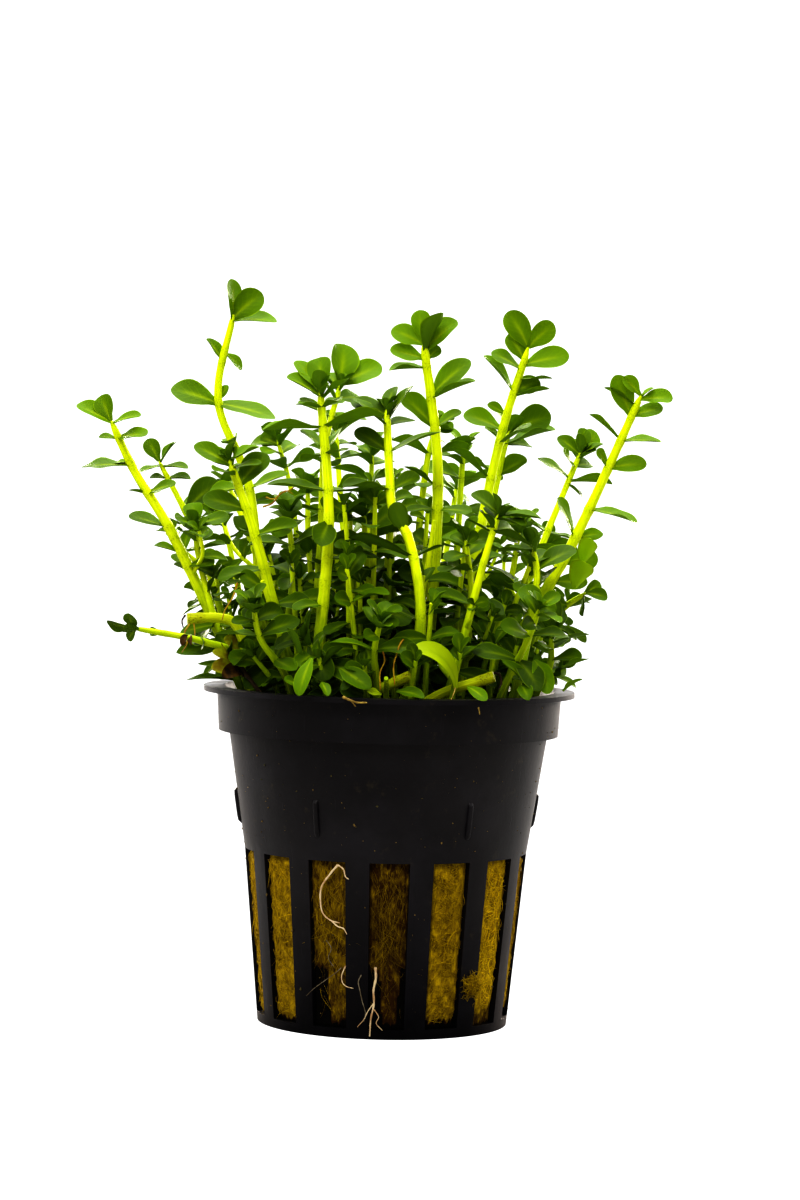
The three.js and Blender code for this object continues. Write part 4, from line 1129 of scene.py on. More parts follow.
@dataclass
class Undergrowth:
    """The thin young shoots between the big ones, and the side shoots in the joints of the big ones."""

    growth: Growth
    young_count: int = 46
    rim_count: int = 22
    tries: int = 30
    mouth_radius: float = 19.6
    foot_z: float = 42.0
    bend_z: float = 49.5
    low_tip: float = 58.0
    high_tip: float = 82.0
    young_radius: tuple[float, float] = (0.52, 0.32)
    side_radius: tuple[float, float] = (0.36, 0.24)
    side_first: float = 15.0
    side_last: float = 12.0
    side_step: float = 6.0
    side_share: float = 0.7
    side_low: float = 50.0
    side_top: float = 68.0
    side_fewest_leaves: int = 3
    side_leaf_size: float = 0.7
    young_leaf_size: float = 0.9
    bare_share: float = 0.2
    bare_from: float = 4.0
    leaf_low_z: float = 47.0
    pair_step: float = 4.2

    def young_path(self, dice: Dice, _: int) -> list[Points]:
        """A path from the plug outwards and up, taller towards the middle of the bush.

        Args:
            dice: the random numbers.
        Returns:
            foot, middle and tip.
        """
        level = heading(dice.between(0, 360))
        share = math.sqrt(dice.between(0, 1))
        top = self.high_tip - (self.high_tip - self.low_tip) * share**1.6 * 0.8 - dice.between(0, 12)
        spread = 1.0 + 0.55 * dice.between(0.4, 1.2) * (top - self.foot_z) / 36
        foot = level * (self.mouth_radius * share) + at_height(self.foot_z)
        tip = np.array([foot[0] * spread + dice.between(-2, 2), foot[1] * spread + dice.between(-2, 2), top])
        middle = (foot + tip) / 2
        middle[:2] = foot[:2] * 0.7 + tip[:2] * 0.3
        return [foot, middle, tip]

    def rim_path(self, dice: Dice, k: int) -> list[Points]:
        """A path that leans out over the pot's rim.

        Args:
            dice: the random numbers.
            k: the shoot's number round the mouth.
        Returns:
            foot, bend and tip.
        """
        out = heading(360 * (k + dice.between(0, 1)) / self.rim_count)
        top = dice.between(52, 57.5)
        foot = out * dice.between(18.5, 20.5) + at_height(self.foot_z)
        bend = out * dice.between(20.5, 22) + at_height(self.bend_z)
        return [foot, bend, out * dice.between(22, 25.5) + at_height(top)]

    def add_thin(self, kind: str, count: int, seed: int, room: float, path_of: Callable) -> list[int]:
        """Adds thin shoots where there is room for their stems.

        Args:
            kind: what their names start with.
            count: how many.
            seed: where the random numbers start.
            room: millimetres clear of other stems.
            path_of: makes a path to try.
        Returns:
            their numbers.
        """
        dice = Dice(seed)
        made = []
        for k in range(count):
            for _ in range(self.tries):
                stem = Stem(ShootPlan(f"{kind}_shoot_{k}", path_of(dice, k), self.young_radius))
                if self.growth.stem_room.gap(stem.samples) > self.young_radius[0] + room:
                    made.append(self.growth.add_stem(stem))
                    break
        return made

    def add_sides(self, parents: range) -> list[int]:
        """Adds side shoots to the joints of the big shoots.

        Args:
            parents: the big shoots' numbers.
        Returns:
            the side shoots' numbers.
        """
        made = []
        for owner in parents:
            dice = Dice(SIDE_SEED + owner)
            stem = self.growth.stems[owner]
            below = self.side_first + dice.between(0, 4)
            while stem.total - below > self.side_last:
                point, along, _ = stem.station(stem.total - below)
                level = heading(dice.between(0, 360))
                long = dice.between(3.5, 9)
                if dice.between(0, 1) < self.side_share and self.side_low < point[2] < self.side_top:
                    bend = point + level * long * 0.45 + along * long * 0.4
                    tip = bend + level * long * 0.2 + along * long * 0.5
                    plan = ShootPlan(f"side_shoot_{owner}_{len(made)}", [point, bend, tip], self.side_radius)
                    side = Stem(plan)
                    clear_part = side.samples[STEM_SAMPLES // 4:]
                    if self.growth.stem_room.gap(clear_part, owner) > self.side_radius[0] + 0.1:
                        made.append(self.growth.add_stem(side))
                below += self.side_step * dice.between(0.7, 1.3)
        return made

    def add_leaves(self, owners: list[int], small: float) -> None:
        """Adds crossed pairs of leaves from the tip down.

        Args:
            owners: the shoots that get them.
            small: size beside the leaves of a big shoot.
        """
        for owner in owners:
            dice = Dice(SMALL_SEED + owner)
            stem = self.growth.stems[owner]
            below = 0.0
            turn = dice.between(0, 180)
            rise = 64.0
            length = 3.0
            while below == 0 or (
                below < stem.total - 1.5 and stem.station(stem.total - below)[0][2] > self.leaf_low_z
            ):
                for half_turn in (0, 180):
                    if dice.between(0, 1) < self.bare_share and below > self.bare_from:
                        continue
                    size = length * small * dice.between(0.85, 1.2)
                    face = dice.between(-30, 80)
                    swing = dice.between(-14, 14)
                    row = (below, size, rise + dice.between(-10, 10), face, turn + half_turn + swing)
                    self.growth.try_leaf(owner, row, LEAF_CURL * dice.between(0.5, 1.7), TIGHT_ROOM)
                below += self.pair_step * small * (0.3 if below == 0 else dice.between(0.8, 1.25))
                turn += 90
                rise = max(2.0, rise * 0.6)
                length = min(6.6, length * 1.35)

    def build(self, big_count: int) -> tuple[list[int], list[int]]:
        """Grows all of it.

        Args:
            big_count: how many big shoots come first in the growth.
        Returns:
            the numbers of the young shoots, and those of the side shoots that have leaves.
        """
        young = self.add_thin("rim", self.rim_count, RIM_SEED, 0.15, self.rim_path)
        young += self.add_thin("young", self.young_count, YOUNG_SEED, 0.2, self.young_path)
        sides = self.add_sides(range(big_count))
        self.add_leaves(sides, self.side_leaf_size)
        self.add_leaves(young, self.young_leaf_size)
        return young, [side for side in sides if len(self.growth.leaves[side]) >= self.side_fewest_leaves]


# Meshes


def placed(name: str, data: bpy.types.ID) -> Piece:
    """A new object in the scene.

    Args:
        name: its name.
        data: its mesh, light or camera.
    Returns:
        the object.
    """
    made = bpy.data.objects.new(name, data)
    bpy.context.scene.collection.objects.link(made)
    return made


class Sketch:
    """The vertices, faces and per-point values of a piece while it is being made."""

    def __init__(self) -> None:
        """Starts with nothing."""
        self.points: list[Points] = []
        self.faces: Faces = []
        self.values: dict[str, list[Points]] = {}
        self.count = 0

    def add(self, points: Points, faces: Faces, **values: Points) -> None:
        """Adds a shape.

        Args:
            points: vertices in millimetres.
            faces: lists of vertex numbers, counted within this shape.
            values: per-point numbers or vectors by attribute name.
        """
        self.points.append(points)
        self.faces.extend([[i + self.count for i in face] for face in faces])
        self.count += len(points)
        for name, value in values.items():
            self.values.setdefault(name, []).append(value)

    def piece(self, name: str, material: Material, slot: Slot, crease: float = 50.0) -> Piece:
        """Makes the Blender object.

        Args:
            name: the piece's name.
            material: its finish.
            slot: the record's slot; not used.
            crease: edges bent by more degrees than this stay sharp.
        Returns:
            the object, riding on the body.
        """
        mesh = bpy.data.meshes.new(name)
        mesh.from_pydata((np.vstack(self.points) * MM).tolist(), [], self.faces)
        for label, arrays in self.values.items():
            joined = np.concatenate(arrays).astype(np.float32)
            kind, key = ("FLOAT_VECTOR", "vector") if joined.ndim == 2 else ("FLOAT", "value")
            mesh.attributes.new(label, kind, "POINT").data.foreach_set(key, joined.ravel())
        mesh.polygons.foreach_set("use_smooth", np.ones(len(mesh.polygons), bool))
        mesh.set_sharp_from_angle(angle=math.radians(crease))
        mesh.update()
        mesh.materials.append(material)
        made = placed(name, mesh)
        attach(made, BODY)
        return made


def ring_faces(rings: int, sides: int) -> Faces:
    """Faces of a closed tube whose vertices come ring by ring.

    Args:
        rings: how many rings.
        sides: how many vertices a ring has.
    Returns:
        the faces, with the two ends last.
    """
    faces = []
    for ring in range(rings - 1):
        for k in range(sides):
            a = ring * sides + k
            b = ring * sides + (k + 1) % sides
            faces.append([a, b, b + sides, a + sides])
    faces.append(list(range(sides))[::-1])
    faces.append([(rings - 1) * sides + k for k in range(sides)])
    return faces


def tube_frames(centre: Points) -> tuple[Points, Points]:
    """Two directions square to a line at each of its points, turning as little as they can.

    Args:
        centre: points of the line.
    Returns:
        the directions.
    """
    along = np.gradient(centre, axis=0)
    along /= np.linalg.norm(along, axis=1)[:, None]
    start = np.array([0.0, 1.0, 0.0]) if abs(along[0][1]) < 0.9 else np.array([1.0, 0.0, 0.0])
    sides = [unit(np.cross(start, along[0]))]
    for direction in along[1:]:
        last = sides[-1]
        sides.append(unit(last - direction * last.dot(direction)))
    side = np.array(sides)
    return side, np.cross(along, side)


def tube(centre: Points, radius: Points, sides: int) -> tuple[Points, Faces]:
    """A closed tube round a line.

    Args:
        centre: points of the line.
        radius: the radius at each point, or at each point and side.
        sides: how many sides it has.
    Returns:
        vertices and faces.
    """
    side, other = tube_frames(centre)
    turn = np.arange(sides) * 2 * math.pi / sides
    spread = radius if radius.ndim == 2 else np.repeat(radius[:, None], sides, axis=1)
    first = side[:, None, :] * (np.cos(turn) * spread)[:, :, None]
    second = other[:, None, :] * (np.sin(turn) * spread)[:, :, None]
    return (centre[:, None, :] + (first + second)).reshape(-1, 3), ring_faces(len(centre), sides)


@dataclass
class Blade:
    """Turns a leaf's values into its surface: a closed, thin blade with a rounded end and a narrow foot."""

    stations: int = 13
    across: tuple[float, ...] = (-1, -0.72, -0.36, 0, 0.36, 0.72, 1, 0.7, 0.34, 0, -0.34, -0.7)
    top_count: int = 7
    thickness: float = 0.2
    groove: float = 0.1
    groove_width: float = 0.16
    foot_width: float = 0.2
    crowding: float = 1.7
    waves: float = 9.0
    twist: float = 40.0
    young_length: float = 9.0
    # from this height down, blades are painted darker, for older leaves and as painted shade
    aged_shaded_from_z: float = 86.0
    aged_shaded_range: float = 56.0

    def outline(self, place: Points, roundness: float, point: float) -> Points:
        """Half width, as a share of the widest, at places from the foot to the tip.

        Args:
            place: the places, from 0 to 1.
            roundness: how round the blade is, from 0 to 1.
            point: how pointed its tip is.
        Returns:
            the shares.
        """
        lead = 0.95 - 0.25 * roundness
        tail = 0.6 - 0.08 * roundness + point
        peak = lead / (lead + tail)
        shape = place**lead * (1 - place) ** tail / (peak**lead * (1 - peak) ** tail)
        return np.maximum(shape, self.foot_width * (1 - place) ** 2 + 0.01)

    def age(self, points: Points, tone: float) -> Points:
        """How dark a blade is painted: darker low down, and more so inside the bush, partly for older leaves
        and partly as painted shade.

        Args:
            points: its vertices.
            tone: how much older it looks than others there.
        Returns:
            the value at each vertex, 0 for young and lit and 1 for old and in painted shade.
        """
        heights = points[:, 2]
        # painted shade: besides older leaves, blades low down and inside the bush are painted darker where
        # shade falls among the leaves
        edge = 21 + 0.6 * np.clip(heights - 50, 0, 40)
        inside = np.clip(1.15 - np.hypot(points[:, 0], points[:, 1]) / edge, 0, 1)
        low = np.clip((self.aged_shaded_from_z - heights) / self.aged_shaded_range, 0, 1)
        return np.clip(0.08 + tone + low + 0.5 * inside * low, 0, 1.3)

    def add(self, sketch: Sketch, leaf: Leaf, dice: Dice, tone: float, ease: float = 1.0) -> None:
        """Adds one leaf to a sketch, with the values that its finish reads.

        Args:
            sketch: where it goes.
            leaf: the leaf.
            dice: the random numbers.
            tone: how much older its shoot looks.
            ease: how much of its curl and twist it has.
        """
        place = 1 - (1 - np.linspace(0, 1, self.stations)) ** self.crowding
        hidden = leaf.stem_radius * 0.6 / leaf.length
        share = np.where(place > 0, hidden + place * (1 - hidden), 0.0)
        young = np.clip(1 - leaf.below / self.young_length, 0, 1)
        plump = 0.04 * young + 0.05 * float(np.clip((leaf.origin[2] - 60) / 16, 0, 1))
        half = leaf.length * (dice.between(0.19, 0.28) + plump)
        roundness = dice.between(0.2, 1.0)
        point = max(0.0, dice.between(-0.2, 0.35) - 6 * plump)
        wave_size = leaf.length * dice.between(0.0, 0.035)
        wave_place = dice.between(0, 2 * math.pi)
        cup = math.tan(math.radians(LEAF_FOLD * dice.between(0.5, 1.7)))
        lean = dice.between(-0.12, 0.12) * leaf.length * ease
        twist = dice.between(-self.twist, self.twist) * ease
        ring = len(self.across)
        shares = np.repeat(share, ring)
        sides = np.tile(self.across, self.stations)
        unders = np.tile(np.arange(ring) >= self.top_count, self.stations).astype(float)
        widths = np.repeat(half * self.outline(place, roundness, point), ring)
        bowl = cup * (sides * widths) ** 2 / half
        wave = wave_size * np.sin(shares * self.waves + wave_place) * sides**3 * widths / half
        body = self.thickness * (1 - 0.6 * shares) * (1 - np.abs(sides) ** 2.5) / 2
        groove = -self.groove * np.exp(-((sides / self.groove_width) ** 2)) * (1 - shares)
        lift = bowl + wave + np.where(unders > 0, -body, body) + groove * np.where(unders > 0, 1.6, 1.0)
        points = leaf.surface(shares, sides * widths + lean * shares**2, lift, ease, twist)
        age = self.age(points, tone + dice.between(-0.24, 0.24))
        faces = [face[::-1] for face in ring_faces(self.stations, ring)]
        sketch.add(points, faces, blade=np.column_stack([shares, sides, unders]), leaf_age_and_shade=age)


# Sub-assemblies


@dataclass
class Shoots:
    """The stems and leaves of every shoot, one stem piece and one leaf piece for each solid."""

    growth: Growth
    leaf: Material
    stem: Material
    old_stem: StemFinish = StemFinish("rotala_cut_stem", (0.5, 0.56, 0.004), joint=(0.1, 0.05, 0.004))
    stem_sides: int = 14
    thin_sides: int = 8
    ring_step: float = 0.9
    fewest_rings: int = 12
    flute: float = 0.06
    flute_count: int = 5
    swell: float = 0.12
    joint_reach: float = 0.7
    ease: float = 0.45
    leaf_crease: float = 70.0
    green_z: float = 46.0
    cut_green_z: float = 30.0
    small_blade: Blade = field(
        default_factory=lambda: Blade(stations=9, across=(-1, -0.5, 0, 0.5, 1, 0.5, 0, -0.5), top_count=5)
    )

    def stem_height(self, centre: Points, low: float, sides: int) -> Points:
        """How high up the bush each vertex of a stem is, from 0 to 1."""
        return np.repeat(np.clip((centre[:, 2] - low) / 50, 0, 1), sides)

    def stem_piece(self, owner: int, material: Material, slot: Slot) -> Piece:
        """Makes one stem, fluted, swollen at its joints and rounded at its tip.

        Args:
            owner: the shoot's number.
            material: its finish.
            slot: the record's slot.
        Returns:
            the piece.
        """
        stem = self.growth.stems[owner]
        name = stem.plan.name
        count = max(self.fewest_rings, int(stem.total / self.ring_step))
        lengths = np.linspace(0, stem.total, count)
        stations = [stem.station(length) for length in lengths]
        centre = np.array([station[0] for station in stations])
        radius = np.array([station[2] for station in stations])
        near = np.zeros(count)
        for joint in {round(stem.total - leaf.below, 1) for leaf in self.growth.leaves[owner]}:
            near = np.maximum(near, np.exp(-(((lengths - joint) / self.joint_reach) ** 2)))
        if stem.plan.is_cut:
            near[-3:] = 1.0
        else:
            radius = radius * (0.96 - 0.22 * np.exp(-(stem.total - lengths) / 3.0))
            radius[-2:] *= (0.85, 0.4)
        turn = np.arange(self.stem_sides) * 2 * math.pi / self.stem_sides
        ribs = 1 + self.flute * np.cos(turn * self.flute_count + owner)
        spread = (radius * (1 + self.swell * near))[:, None] * ribs[None, :]
        low = self.cut_green_z if stem.plan.is_cut else self.green_z
        across, aside = np.tile(np.cos(turn), count) + owner * 7.0, np.tile(np.sin(turn), count)
        sketch = Sketch()
        sketch.add(
            *tube(centre, spread, self.stem_sides),
            stem_height=self.stem_height(centre, low, self.stem_sides),
            stem_joint=np.repeat(near, self.stem_sides),
            stem_place=np.column_stack([across, aside, np.repeat(lengths, self.stem_sides)]),
        )
        made = sketch.piece(name + ("_stub" if stem.plan.is_cut else "_stem"), material, slot)
        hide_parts(name)
        return made

    def leaf_piece(self, owner: int) -> Piece:
        """Makes all leaves of one shoot.

        Args:
            owner: the shoot's number.
        Returns:
            the piece.
        """
        sketch = Sketch()
        blade = Blade()
        dice = Dice(BLADE_SEED + owner)
        plan = self.growth.stems[owner].plan
        for leaf in self.growth.leaves[owner]:
            blade.add(sketch, leaf, dice, plan.tone, self.ease if plan.rows else 1.0)
        made = sketch.piece(plan.name + "_leaves", self.leaf, Slot.LEAF, self.leaf_crease)
        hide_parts(plan.name)
        return made

    def crowd(self, name: str, owners: list[int]) -> list[Piece]:
        """Makes one piece of leaves and one of stems for a crowd of small shoots.

        Args:
            name: what the pieces' names start with.
            owners: the shoots' numbers.
        Returns:
            the two pieces.
        """
        leaves = Sketch()
        stems = Sketch()
        for owner in owners:
            dice = Dice(BLADE_SEED + owner)
            for leaf in self.growth.leaves[owner]:
                self.small_blade.add(leaves, leaf, dice, 0.0)
            stem = self.growth.stems[owner]
            centre = stem.samples[::8]
            points, faces = tube(centre, np.linspace(*stem.plan.radius, len(centre)), self.thin_sides)
            height = self.stem_height(centre, self.green_z, self.thin_sides)
            stems.add(points, faces, stem_height=height, stem_joint=np.zeros(len(points)), stem_place=points)
        return [
            leaves.piece(name + "_leaves", self.leaf, Slot.LEAF, self.leaf_crease),
            stems.piece(name + "_stems", self.stem, Slot.LEAF),
        ]

    def build(self) -> list[Piece]:
        """Makes the shoots that the solids have.

        Returns:
            a stem piece and a leaf piece for each shoot, and a stem piece for each cut stem.
        """
        old = self.old_stem.make()
        made = []
        for owner, plan in enumerate(SHOOTS + CUT_ENDS):
            if plan.is_cut:
                made.append(self.stem_piece(owner, old, Slot.CUT))
            else:
                made += [self.stem_piece(owner, self.stem, Slot.LEAF), self.leaf_piece(owner)]
        return made


@dataclass
class NetPot:
    """The moulded pot: flange, collar, tapered wall with tall slots, lugs and slotted floor.

    cuts holds the points of the wall's section that a slot runs between: up its outside, down its inside.
    """

    sizes: PotSizes = POT
    cuts: tuple[int, ...] = (2, 3, 11, 12)
    slot_steps: int = 6
    bar_steps: int = 4
    floor_open_steps: int = 3
    lug_sides: int = 8
    lug_rings: int = 9
    edge_round: float = 0.22
    sharp_angle: float = 40.0

    def __post_init__(self) -> None:
        """Starts the sketch."""
        self.sketch = Sketch()

    def profile(self) -> list[tuple[float, float]]:
        """The wall's section, from the floor round the outside to the floor.

        Returns:
            its points as (radius, height).
        """
        s = self.sizes
        under = s.height - s.flange_thickness
        low = s.wall_radius(s.slot_bottom_z)
        return [
            (s.foot_radius - s.floor_margin, 0), (s.foot_radius, 0), (low, s.slot_bottom_z),
            (s.slot_top_radius, s.slot_top_z), (s.body_top_radius, s.collar_z), (s.collar_radius, s.collar_z),
            (s.collar_top_radius, under), (s.flange_radius, under), (s.flange_radius, s.height),
            (s.collar_top_radius - s.wall, s.height), (s.body_top_radius - s.wall, s.collar_z - s.wall),
            (s.slot_top_radius - s.wall, s.slot_top_z), (low - s.wall, s.slot_bottom_z),
            (s.foot_radius - s.wall, s.floor_thickness),
            (s.foot_radius - s.floor_margin, s.floor_thickness),
        ]

    def turns(self) -> list[float]:
        """Where the wall's sectors start: those of a slot, and then those of the bar beside it.

        Returns:
            the turns in degrees.
        """
        s = self.sizes
        pitch = 360 / s.slot_count
        bar = pitch - s.slot_width
        turns = []
        for k in range(s.slot_count):
            start = s.slot_first_turn + k * pitch - s.slot_width / 2
            turns += [start + i * s.slot_width / self.slot_steps for i in range(self.slot_steps)]
            turns += [start + s.slot_width + i * bar / self.bar_steps for i in range(self.bar_steps)]
        return turns

    def wall(self) -> None:
        """Adds the wall with its slots, and the floor."""
        profile = self.profile()
        steps = len(profile)
        outs = [pot_ways(math.radians(turn))[0] for turn in self.turns()]
        points = [out * r + at_height(z) for out in outs for r, z in profile]
        a, b, c, d = self.cuts
        faces = []
        for k in range(len(outs)):
            here = k * steps
            after = (k + 1) % len(outs) * steps
            step = k % (self.slot_steps + self.bar_steps)
            is_open = step < self.slot_steps
            for i in range(steps - 1):
                if not (is_open and i in (a, c)):
                    faces.append([here + i, after + i, after + i + 1, here + i + 1])
            if is_open:
                faces.append([here + a, after + a, after + d, here + d])
                faces.append([here + c, after + c, after + b, here + b])
            if step == 0:
                faces.append([here + a, here + d, here + c, here + b])
            if step == self.slot_steps - 1:
                faces.append([after + a, after + b, after + c, after + d])
        faces += self.floor_faces(points, outs, steps)
        self.sketch.add(np.array(points), faces)

    def floor_faces(self, points: list[Points], outs: list[Points], steps: int) -> Faces:
        """Adds the floor's middle: rings inwards, part of each group of sectors left open.

        Args:
            points: the wall's points, which the floor's are added to.
            outs: the way out of the pot at each sector.
            steps: how many points the wall's section has.
        Returns:
            the floor's faces.
        """
        s = self.sizes
        count = len(outs)
        group = count // s.floor_slot_count
        lows, highs = [], []
        for r in (s.floor_slot_outer, s.floor_slot_inner):
            start = len(points)
            for out in outs:
                points += [out * r, out * r + at_height(s.floor_thickness)]
            lows.append(range(start, start + 2 * count, 2))
            highs.append(range(start + 1, start + 2 * count, 2))
        low_centre = len(points)
        points += [at_height(0.0), at_height(s.floor_thickness)]
        faces = []
        for k in range(count):
            n = (k + 1) % count
            (a, b), (c, d) = [(ring[k], ring[n]) for ring in lows]
            (e, f), (g, h) = [(ring[k], ring[n]) for ring in highs]
            foot, foot_next = k * steps, n * steps
            faces.append([foot_next, foot, a, b])
            faces.append([foot + steps - 1, foot_next + steps - 1, f, e])
            is_open = k % group < self.floor_open_steps
            was_open = (k - 1) % group < self.floor_open_steps
            faces += [[b, a, e, f], [c, d, h, g]] if is_open else [[b, a, c, d], [e, f, h, g]]
            if is_open and not was_open:
                faces.append([a, c, g, e])
            if was_open and not is_open:
                faces.append([c, a, e, g])
            faces += [[d, c, low_centre], [g, h, low_centre + 1]]
        return faces

    def lugs(self) -> None:
        """Adds the small upright ribs, each a closed ridge sunk into the wall."""
        s = self.sizes
        middle = (s.lug_bottom_z + s.lug_top_z) / 2
        reach = (s.lug_top_z - s.lug_bottom_z) / 2
        for k in range(s.lug_count):
            out, side = pot_ways(math.radians(s.lug_first_turn + 360 * k / s.lug_count))
            points = []
            for z in np.linspace(s.lug_bottom_z, s.lug_top_z, self.lug_rings):
                fade = max(0.02, (1 - min(1.0, abs(z - middle) / reach) ** 6) ** 0.5)
                for turn in np.linspace(0, math.pi, self.lug_sides):
                    proud = (s.lug_sunk + s.lug_proud) * math.sin(turn) ** 0.6 * fade
                    sideways = -s.lug_width * 0.36 * math.cos(turn)
                    place = out * (s.wall_radius(z) - s.lug_sunk + proud)
                    points.append(place + side * sideways + at_height(z))
            self.sketch.add(np.array(points), ring_faces(self.lug_rings, self.lug_sides))

    def build(self, material: Material) -> list[Piece]:
        """Makes the pot with its edges rounded.

        Args:
            material: its finish.
        Returns:
            the one piece.
        """
        self.wall()
        self.lugs()
        made = self.sketch.piece("net_pot", material, Slot.POT, 35.0)
        bevel = made.modifiers.new("rounded_edges", "BEVEL")
        bevel.width = self.edge_round * MM
        bevel.segments = 3
        bevel.limit_method = "ANGLE"
        bevel.angle_limit = math.radians(self.sharp_angle)
        bevel.harden_normals = True
        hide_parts("pot")
        return [made]


@dataclass
class RockwoolPlug:
    """The plug: a felted core that swells into the slots, and a fleece of fibres over it.

    Slots are numbered from the one at the front. slot_wet_and_shade says how brown the wool is in a slot,
    from wetness and painted shade, and below zero paints it pale as lit; low_edges how far above its bottom
    the wool ends, and tongues where a torn one still hangs down.
    """

    top_z: float = 44.4
    edge: float = 1.2
    columns: int = 336
    rows: int = 84
    wave_count: int = 40
    dome_shares: tuple[float, ...] = (0.8, 0.6, 0.4, 0.2)
    dome_wet: float = 0.7
    fibres_per_slot: int = 330
    fibres_on_top: int = 900
    fibres_in_tuft: int = 300
    top_radius: float = 20.5
    top_wet: float = 0.6
    tuft_turn: float = 42.5
    tuft_z: float = 7.4
    fibre_radius: float = 0.045
    fibre_steps: int = 6
    fibre_sides: int = 3
    depth: float = 1.05
    behind_bars: float = 0.98
    swell: float = 0.45
    wet_swell: float = 0.2
    tongue_drop: float = 7.5
    seed: int = 5560
    # painted shade: slots without their own value, round the back, are painted brown to darken wool that the
    # lights behind make bright
    back_slot_shade: float = 0.58
    soaked_from: float = 0.4
    lowest_z: float = 0.2
    # front slots: partly wet wool, partly painted shade where the plug sits back in slots 0 and -1, and
    # painted light below zero in slot 2
    slot_wet_and_shade: tuple = ((0, 0.72), (-1, 0.6), (1, 0.38), (2, -0.4), (3, 0.24), (-2, 0.36), (-3, 0.2))
    low_edges: tuple = ((-3, 0.1), (-2, 0.2), (1, 0.7), (2, 1.9))
    tongues: tuple = ((-1, 3.6, 4.0), (0, 1.4, 3.2))

    def __post_init__(self) -> None:
        """Starts the random numbers."""
        self.rng = np.random.default_rng(self.seed)

    def radius(self, z: float) -> float:
        """The plain core's radius.

        Args:
            z: the height.
        Returns:
            the radius there.
        """
        edge_z = POT.collar_z - POT.wall - 0.2
        if z <= edge_z:
            return POT.wall_radius(z) - self.depth
        share = min(1.0, (z - edge_z) / (self.top_z - edge_z))
        return POT.wall_radius(edge_z) - self.depth - self.edge * share**2

    @staticmethod
    def slot_at(turn: Points) -> tuple[Points, Points]:
        """The slots nearest to turns in degrees.

        Args:
            turn: the turns.
        Returns:
            the slots' numbers, and how far the turns are from their middles.
        """
        pitch = 360 / POT.slot_count
        half = POT.slot_count // 2
        index = np.round((turn - POT.slot_first_turn) / pitch)
        offset = turn - POT.slot_first_turn - index * pitch
        return (index + half) % POT.slot_count - half, offset

    def wetness_and_shade(self, turn: Points) -> Points:
        """How brown the wool is painted at turns in degrees, for wetness and painted shade, by the slots that
        they are nearest to.

        Args:
            turn: the turns.
        Returns:
            the values.
        """
        index, _ = self.slot_at(turn)
        wet = np.full(turn.shape, self.back_slot_shade)
        for slot, value in self.slot_wet_and_shade:
            wet[index == slot] = value
        return wet

    def low_edge(self, turn: Points) -> Points:
        """The height where the wool ends: ragged, and torn to a tongue in two slots.

        Args:
            turn: turns in degrees.
        Returns:
            the heights.
        """
        index, offset = self.slot_at(turn)
        ragged = 0.28 * np.sin(offset * 2.1 + index * 2.6) + 0.2 * np.sin(offset * 5.3 + index)
        low = np.full(turn.shape, 0.5)
        for slot, value in self.low_edges:
            low[index == slot] = value
        for slot, middle, half in self.tongues:
            torn = np.clip((np.abs(offset - middle) - half) / 1.6, 0, 1) * self.tongue_drop
            low = np.where(index == slot, low + torn, low)
        return POT.slot_bottom_z + low + ragged + 0.012 * offset**2

    def bulge(self, turn: Points, z: float) -> Points:
        """How far the wool swells into the slots.

        Args:
            turn: turns in degrees.
            z: the height.
        Returns:
            millimetres at each turn.
        """
        _, offset = self.slot_at(turn)
        across = np.clip((POT.slot_width / 2 - np.abs(offset)) / 0.9, 0, 1)
        up = np.clip((z - self.low_edge(turn)) / 1.0, 0, 1) * np.clip((POT.slot_top_z - z) / 0.6, 0, 1)
        return np.where(self.wetness_and_shade(turn) > self.soaked_from, self.wet_swell, self.swell) * across * up

    def core(self) -> None:
        """Adds the felted block under the fibres."""
        turns = np.arange(self.columns) * 360 / self.columns
        angle = np.radians(turns)
        waves = []
        for _ in range(self.wave_count):
            waves.append((self.rng.integers(9, 60), self.rng.uniform(0.3, 2.6), self.rng.uniform(0, 6.3)))
        points, wet_and_shade_rows = [], []
        for z in np.linspace(POT.floor_thickness + 0.3, self.top_z, self.rows):
            lump = sum(np.sin(n * angle + f * z + p) for n, f, p in waves) / math.sqrt(len(waves))
            swell = self.bulge(turns, z)
            r = self.radius(z) + 0.09 * lump + swell
            r = np.where(swell > 0, r, np.minimum(r, self.radius(z) + self.depth - self.behind_bars))
            points.append(np.column_stack([r * np.sin(angle), -r * np.cos(angle), np.full(len(r), z)]))
            # painted shade: below the wool's low edge the value is pushed past 1, so the core seen through
            # the slot is painted black
            torn = np.clip((self.low_edge(turns) + 0.4 - z) / 0.5, 0, 1)
            wet_and_shade_rows.append(np.clip(self.wetness_and_shade(turns) + 0.1 - 0.07 * lump + torn, 0, 1.6))
        rim = points[-1]
        for share in self.dome_shares:
            ring = rim * np.array([share, share, 1.0])
            ring[:, 2] += 0.35 * (1 - share) + 0.25 * np.sin(ring[:, 0] * 1.1) * np.cos(ring[:, 1] * 0.9)
            points.append(ring)
            wet_and_shade_rows.append(np.full(self.columns, self.dome_wet))
        tones = self.rng.uniform(0.2, 0.8, len(points) * self.columns)
        faces = ring_faces(len(points), self.columns)
        self.sketch.add(np.vstack(points), faces, wool_wet=np.concatenate(wet_and_shade_rows), wool_tone=tones)

